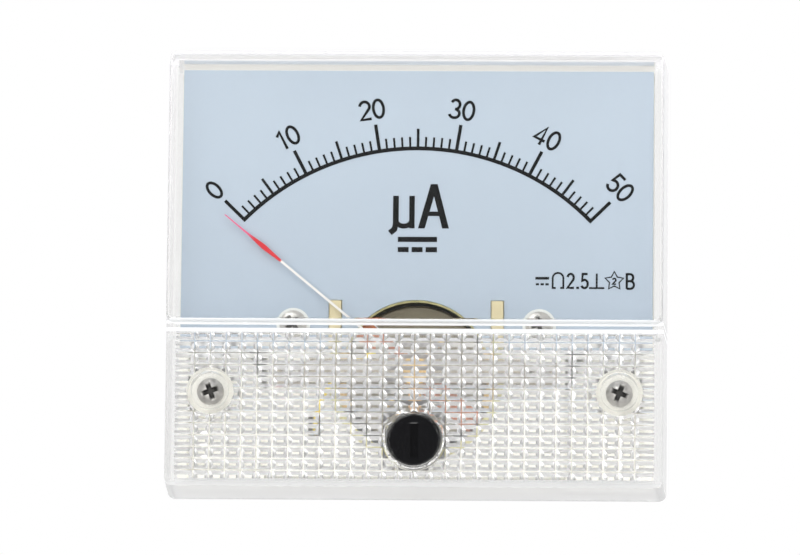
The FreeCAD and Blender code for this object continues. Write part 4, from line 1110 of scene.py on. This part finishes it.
def add_lamp(name, place, size, watts):
    """A square lamp that faces the middle of the meter."""
    data = bpy.data.lights.new(name, "AREA")
    data.shape, data.size, data.energy = "SQUARE", size * MM, watts
    lamp = new_object(name, data)
    lamp.location = Vector(place) * MM
    lamp.rotation_euler = (-lamp.location).to_track_quat("-Z", "Y").to_euler()


def add_floor(tone, height):
    """A pale floor under the meter, open to every ray but the camera's from above."""
    f = Finish("pale_floor")
    diffuse = f.add("ShaderNodeBsdfDiffuse", None, {"Color": rgba(tone)})
    open_way = f.add("ShaderNodeBsdfTransparent")
    camera = f.add("ShaderNodeLightPath", output="Is Camera Ray")
    below = f.add("ShaderNodeNewGeometry", output="Backfacing")
    finish = f.close((camera * (1 - below)).mix(open_way, diffuse))
    reach = 2500.0
    corners = [(x * reach, y * reach, height) for x, y in ((-1, -1), (1, -1), (1, 1), (-1, 1))]
    floor = new_mesh("floor", corners, [[0, 1, 2, 3]], finish)


class METER_PT_panel(bpy.types.Panel):
    """Lists the steps that dress the meter"""

    bl_idname = "METER_PT_panel"
    bl_label = "Panel Meter"
    bl_space_type = "VIEW_3D"
    bl_region_type = "UI"
    bl_category = "Meter"

    def draw(self, context):
        for operator in OPERATORS:
            self.layout.operator(operator.bl_idname)
        for group in GROUPS:
            sizes = getattr(context.scene, group)
            column = self.layout.column()
            for name in sizes.bl_rna.properties.keys():
                if name not in ("rna_type", "name"):
                    column.prop(sizes, name)


OPERATORS = (
    METER_OT_finish_solids,
    METER_OT_print_scale,
    METER_OT_print_numerals,
    METER_OT_print_unit,
    METER_OT_print_symbols,
    METER_OT_set_arch_rim,
    METER_OT_wind_coil,
    METER_OT_drive_screws,
    METER_OT_set_stage,
)
GROUPS = {"meter_dial": MeterDialSizes, "meter_colours": MeterColours, "meter_stage": MeterStageSizes}


def register():
    for group in GROUPS.values():
        bpy.utils.register_class(group)
    for name, group in GROUPS.items():
        setattr(bpy.types.Scene, name, bpy.props.PointerProperty(type=group))
    for operator in OPERATORS:
        bpy.utils.register_class(operator)
    bpy.utils.register_class(METER_PT_panel)


def unregister():
    bpy.utils.unregister_class(METER_PT_panel)
    for operator in reversed(OPERATORS):
        bpy.utils.unregister_class(operator)
    for name in GROUPS:
        delattr(bpy.types.Scene, name)
    for group in GROUPS.values():
        bpy.utils.unregister_class(group)


def main():
    """Build the dressed meter."""
    register()
    for operator in OPERATORS:
        category, name = operator.bl_idname.split(".")
        getattr(getattr(bpy.ops, category), name)()


if __name__ == "__main__":
    main()
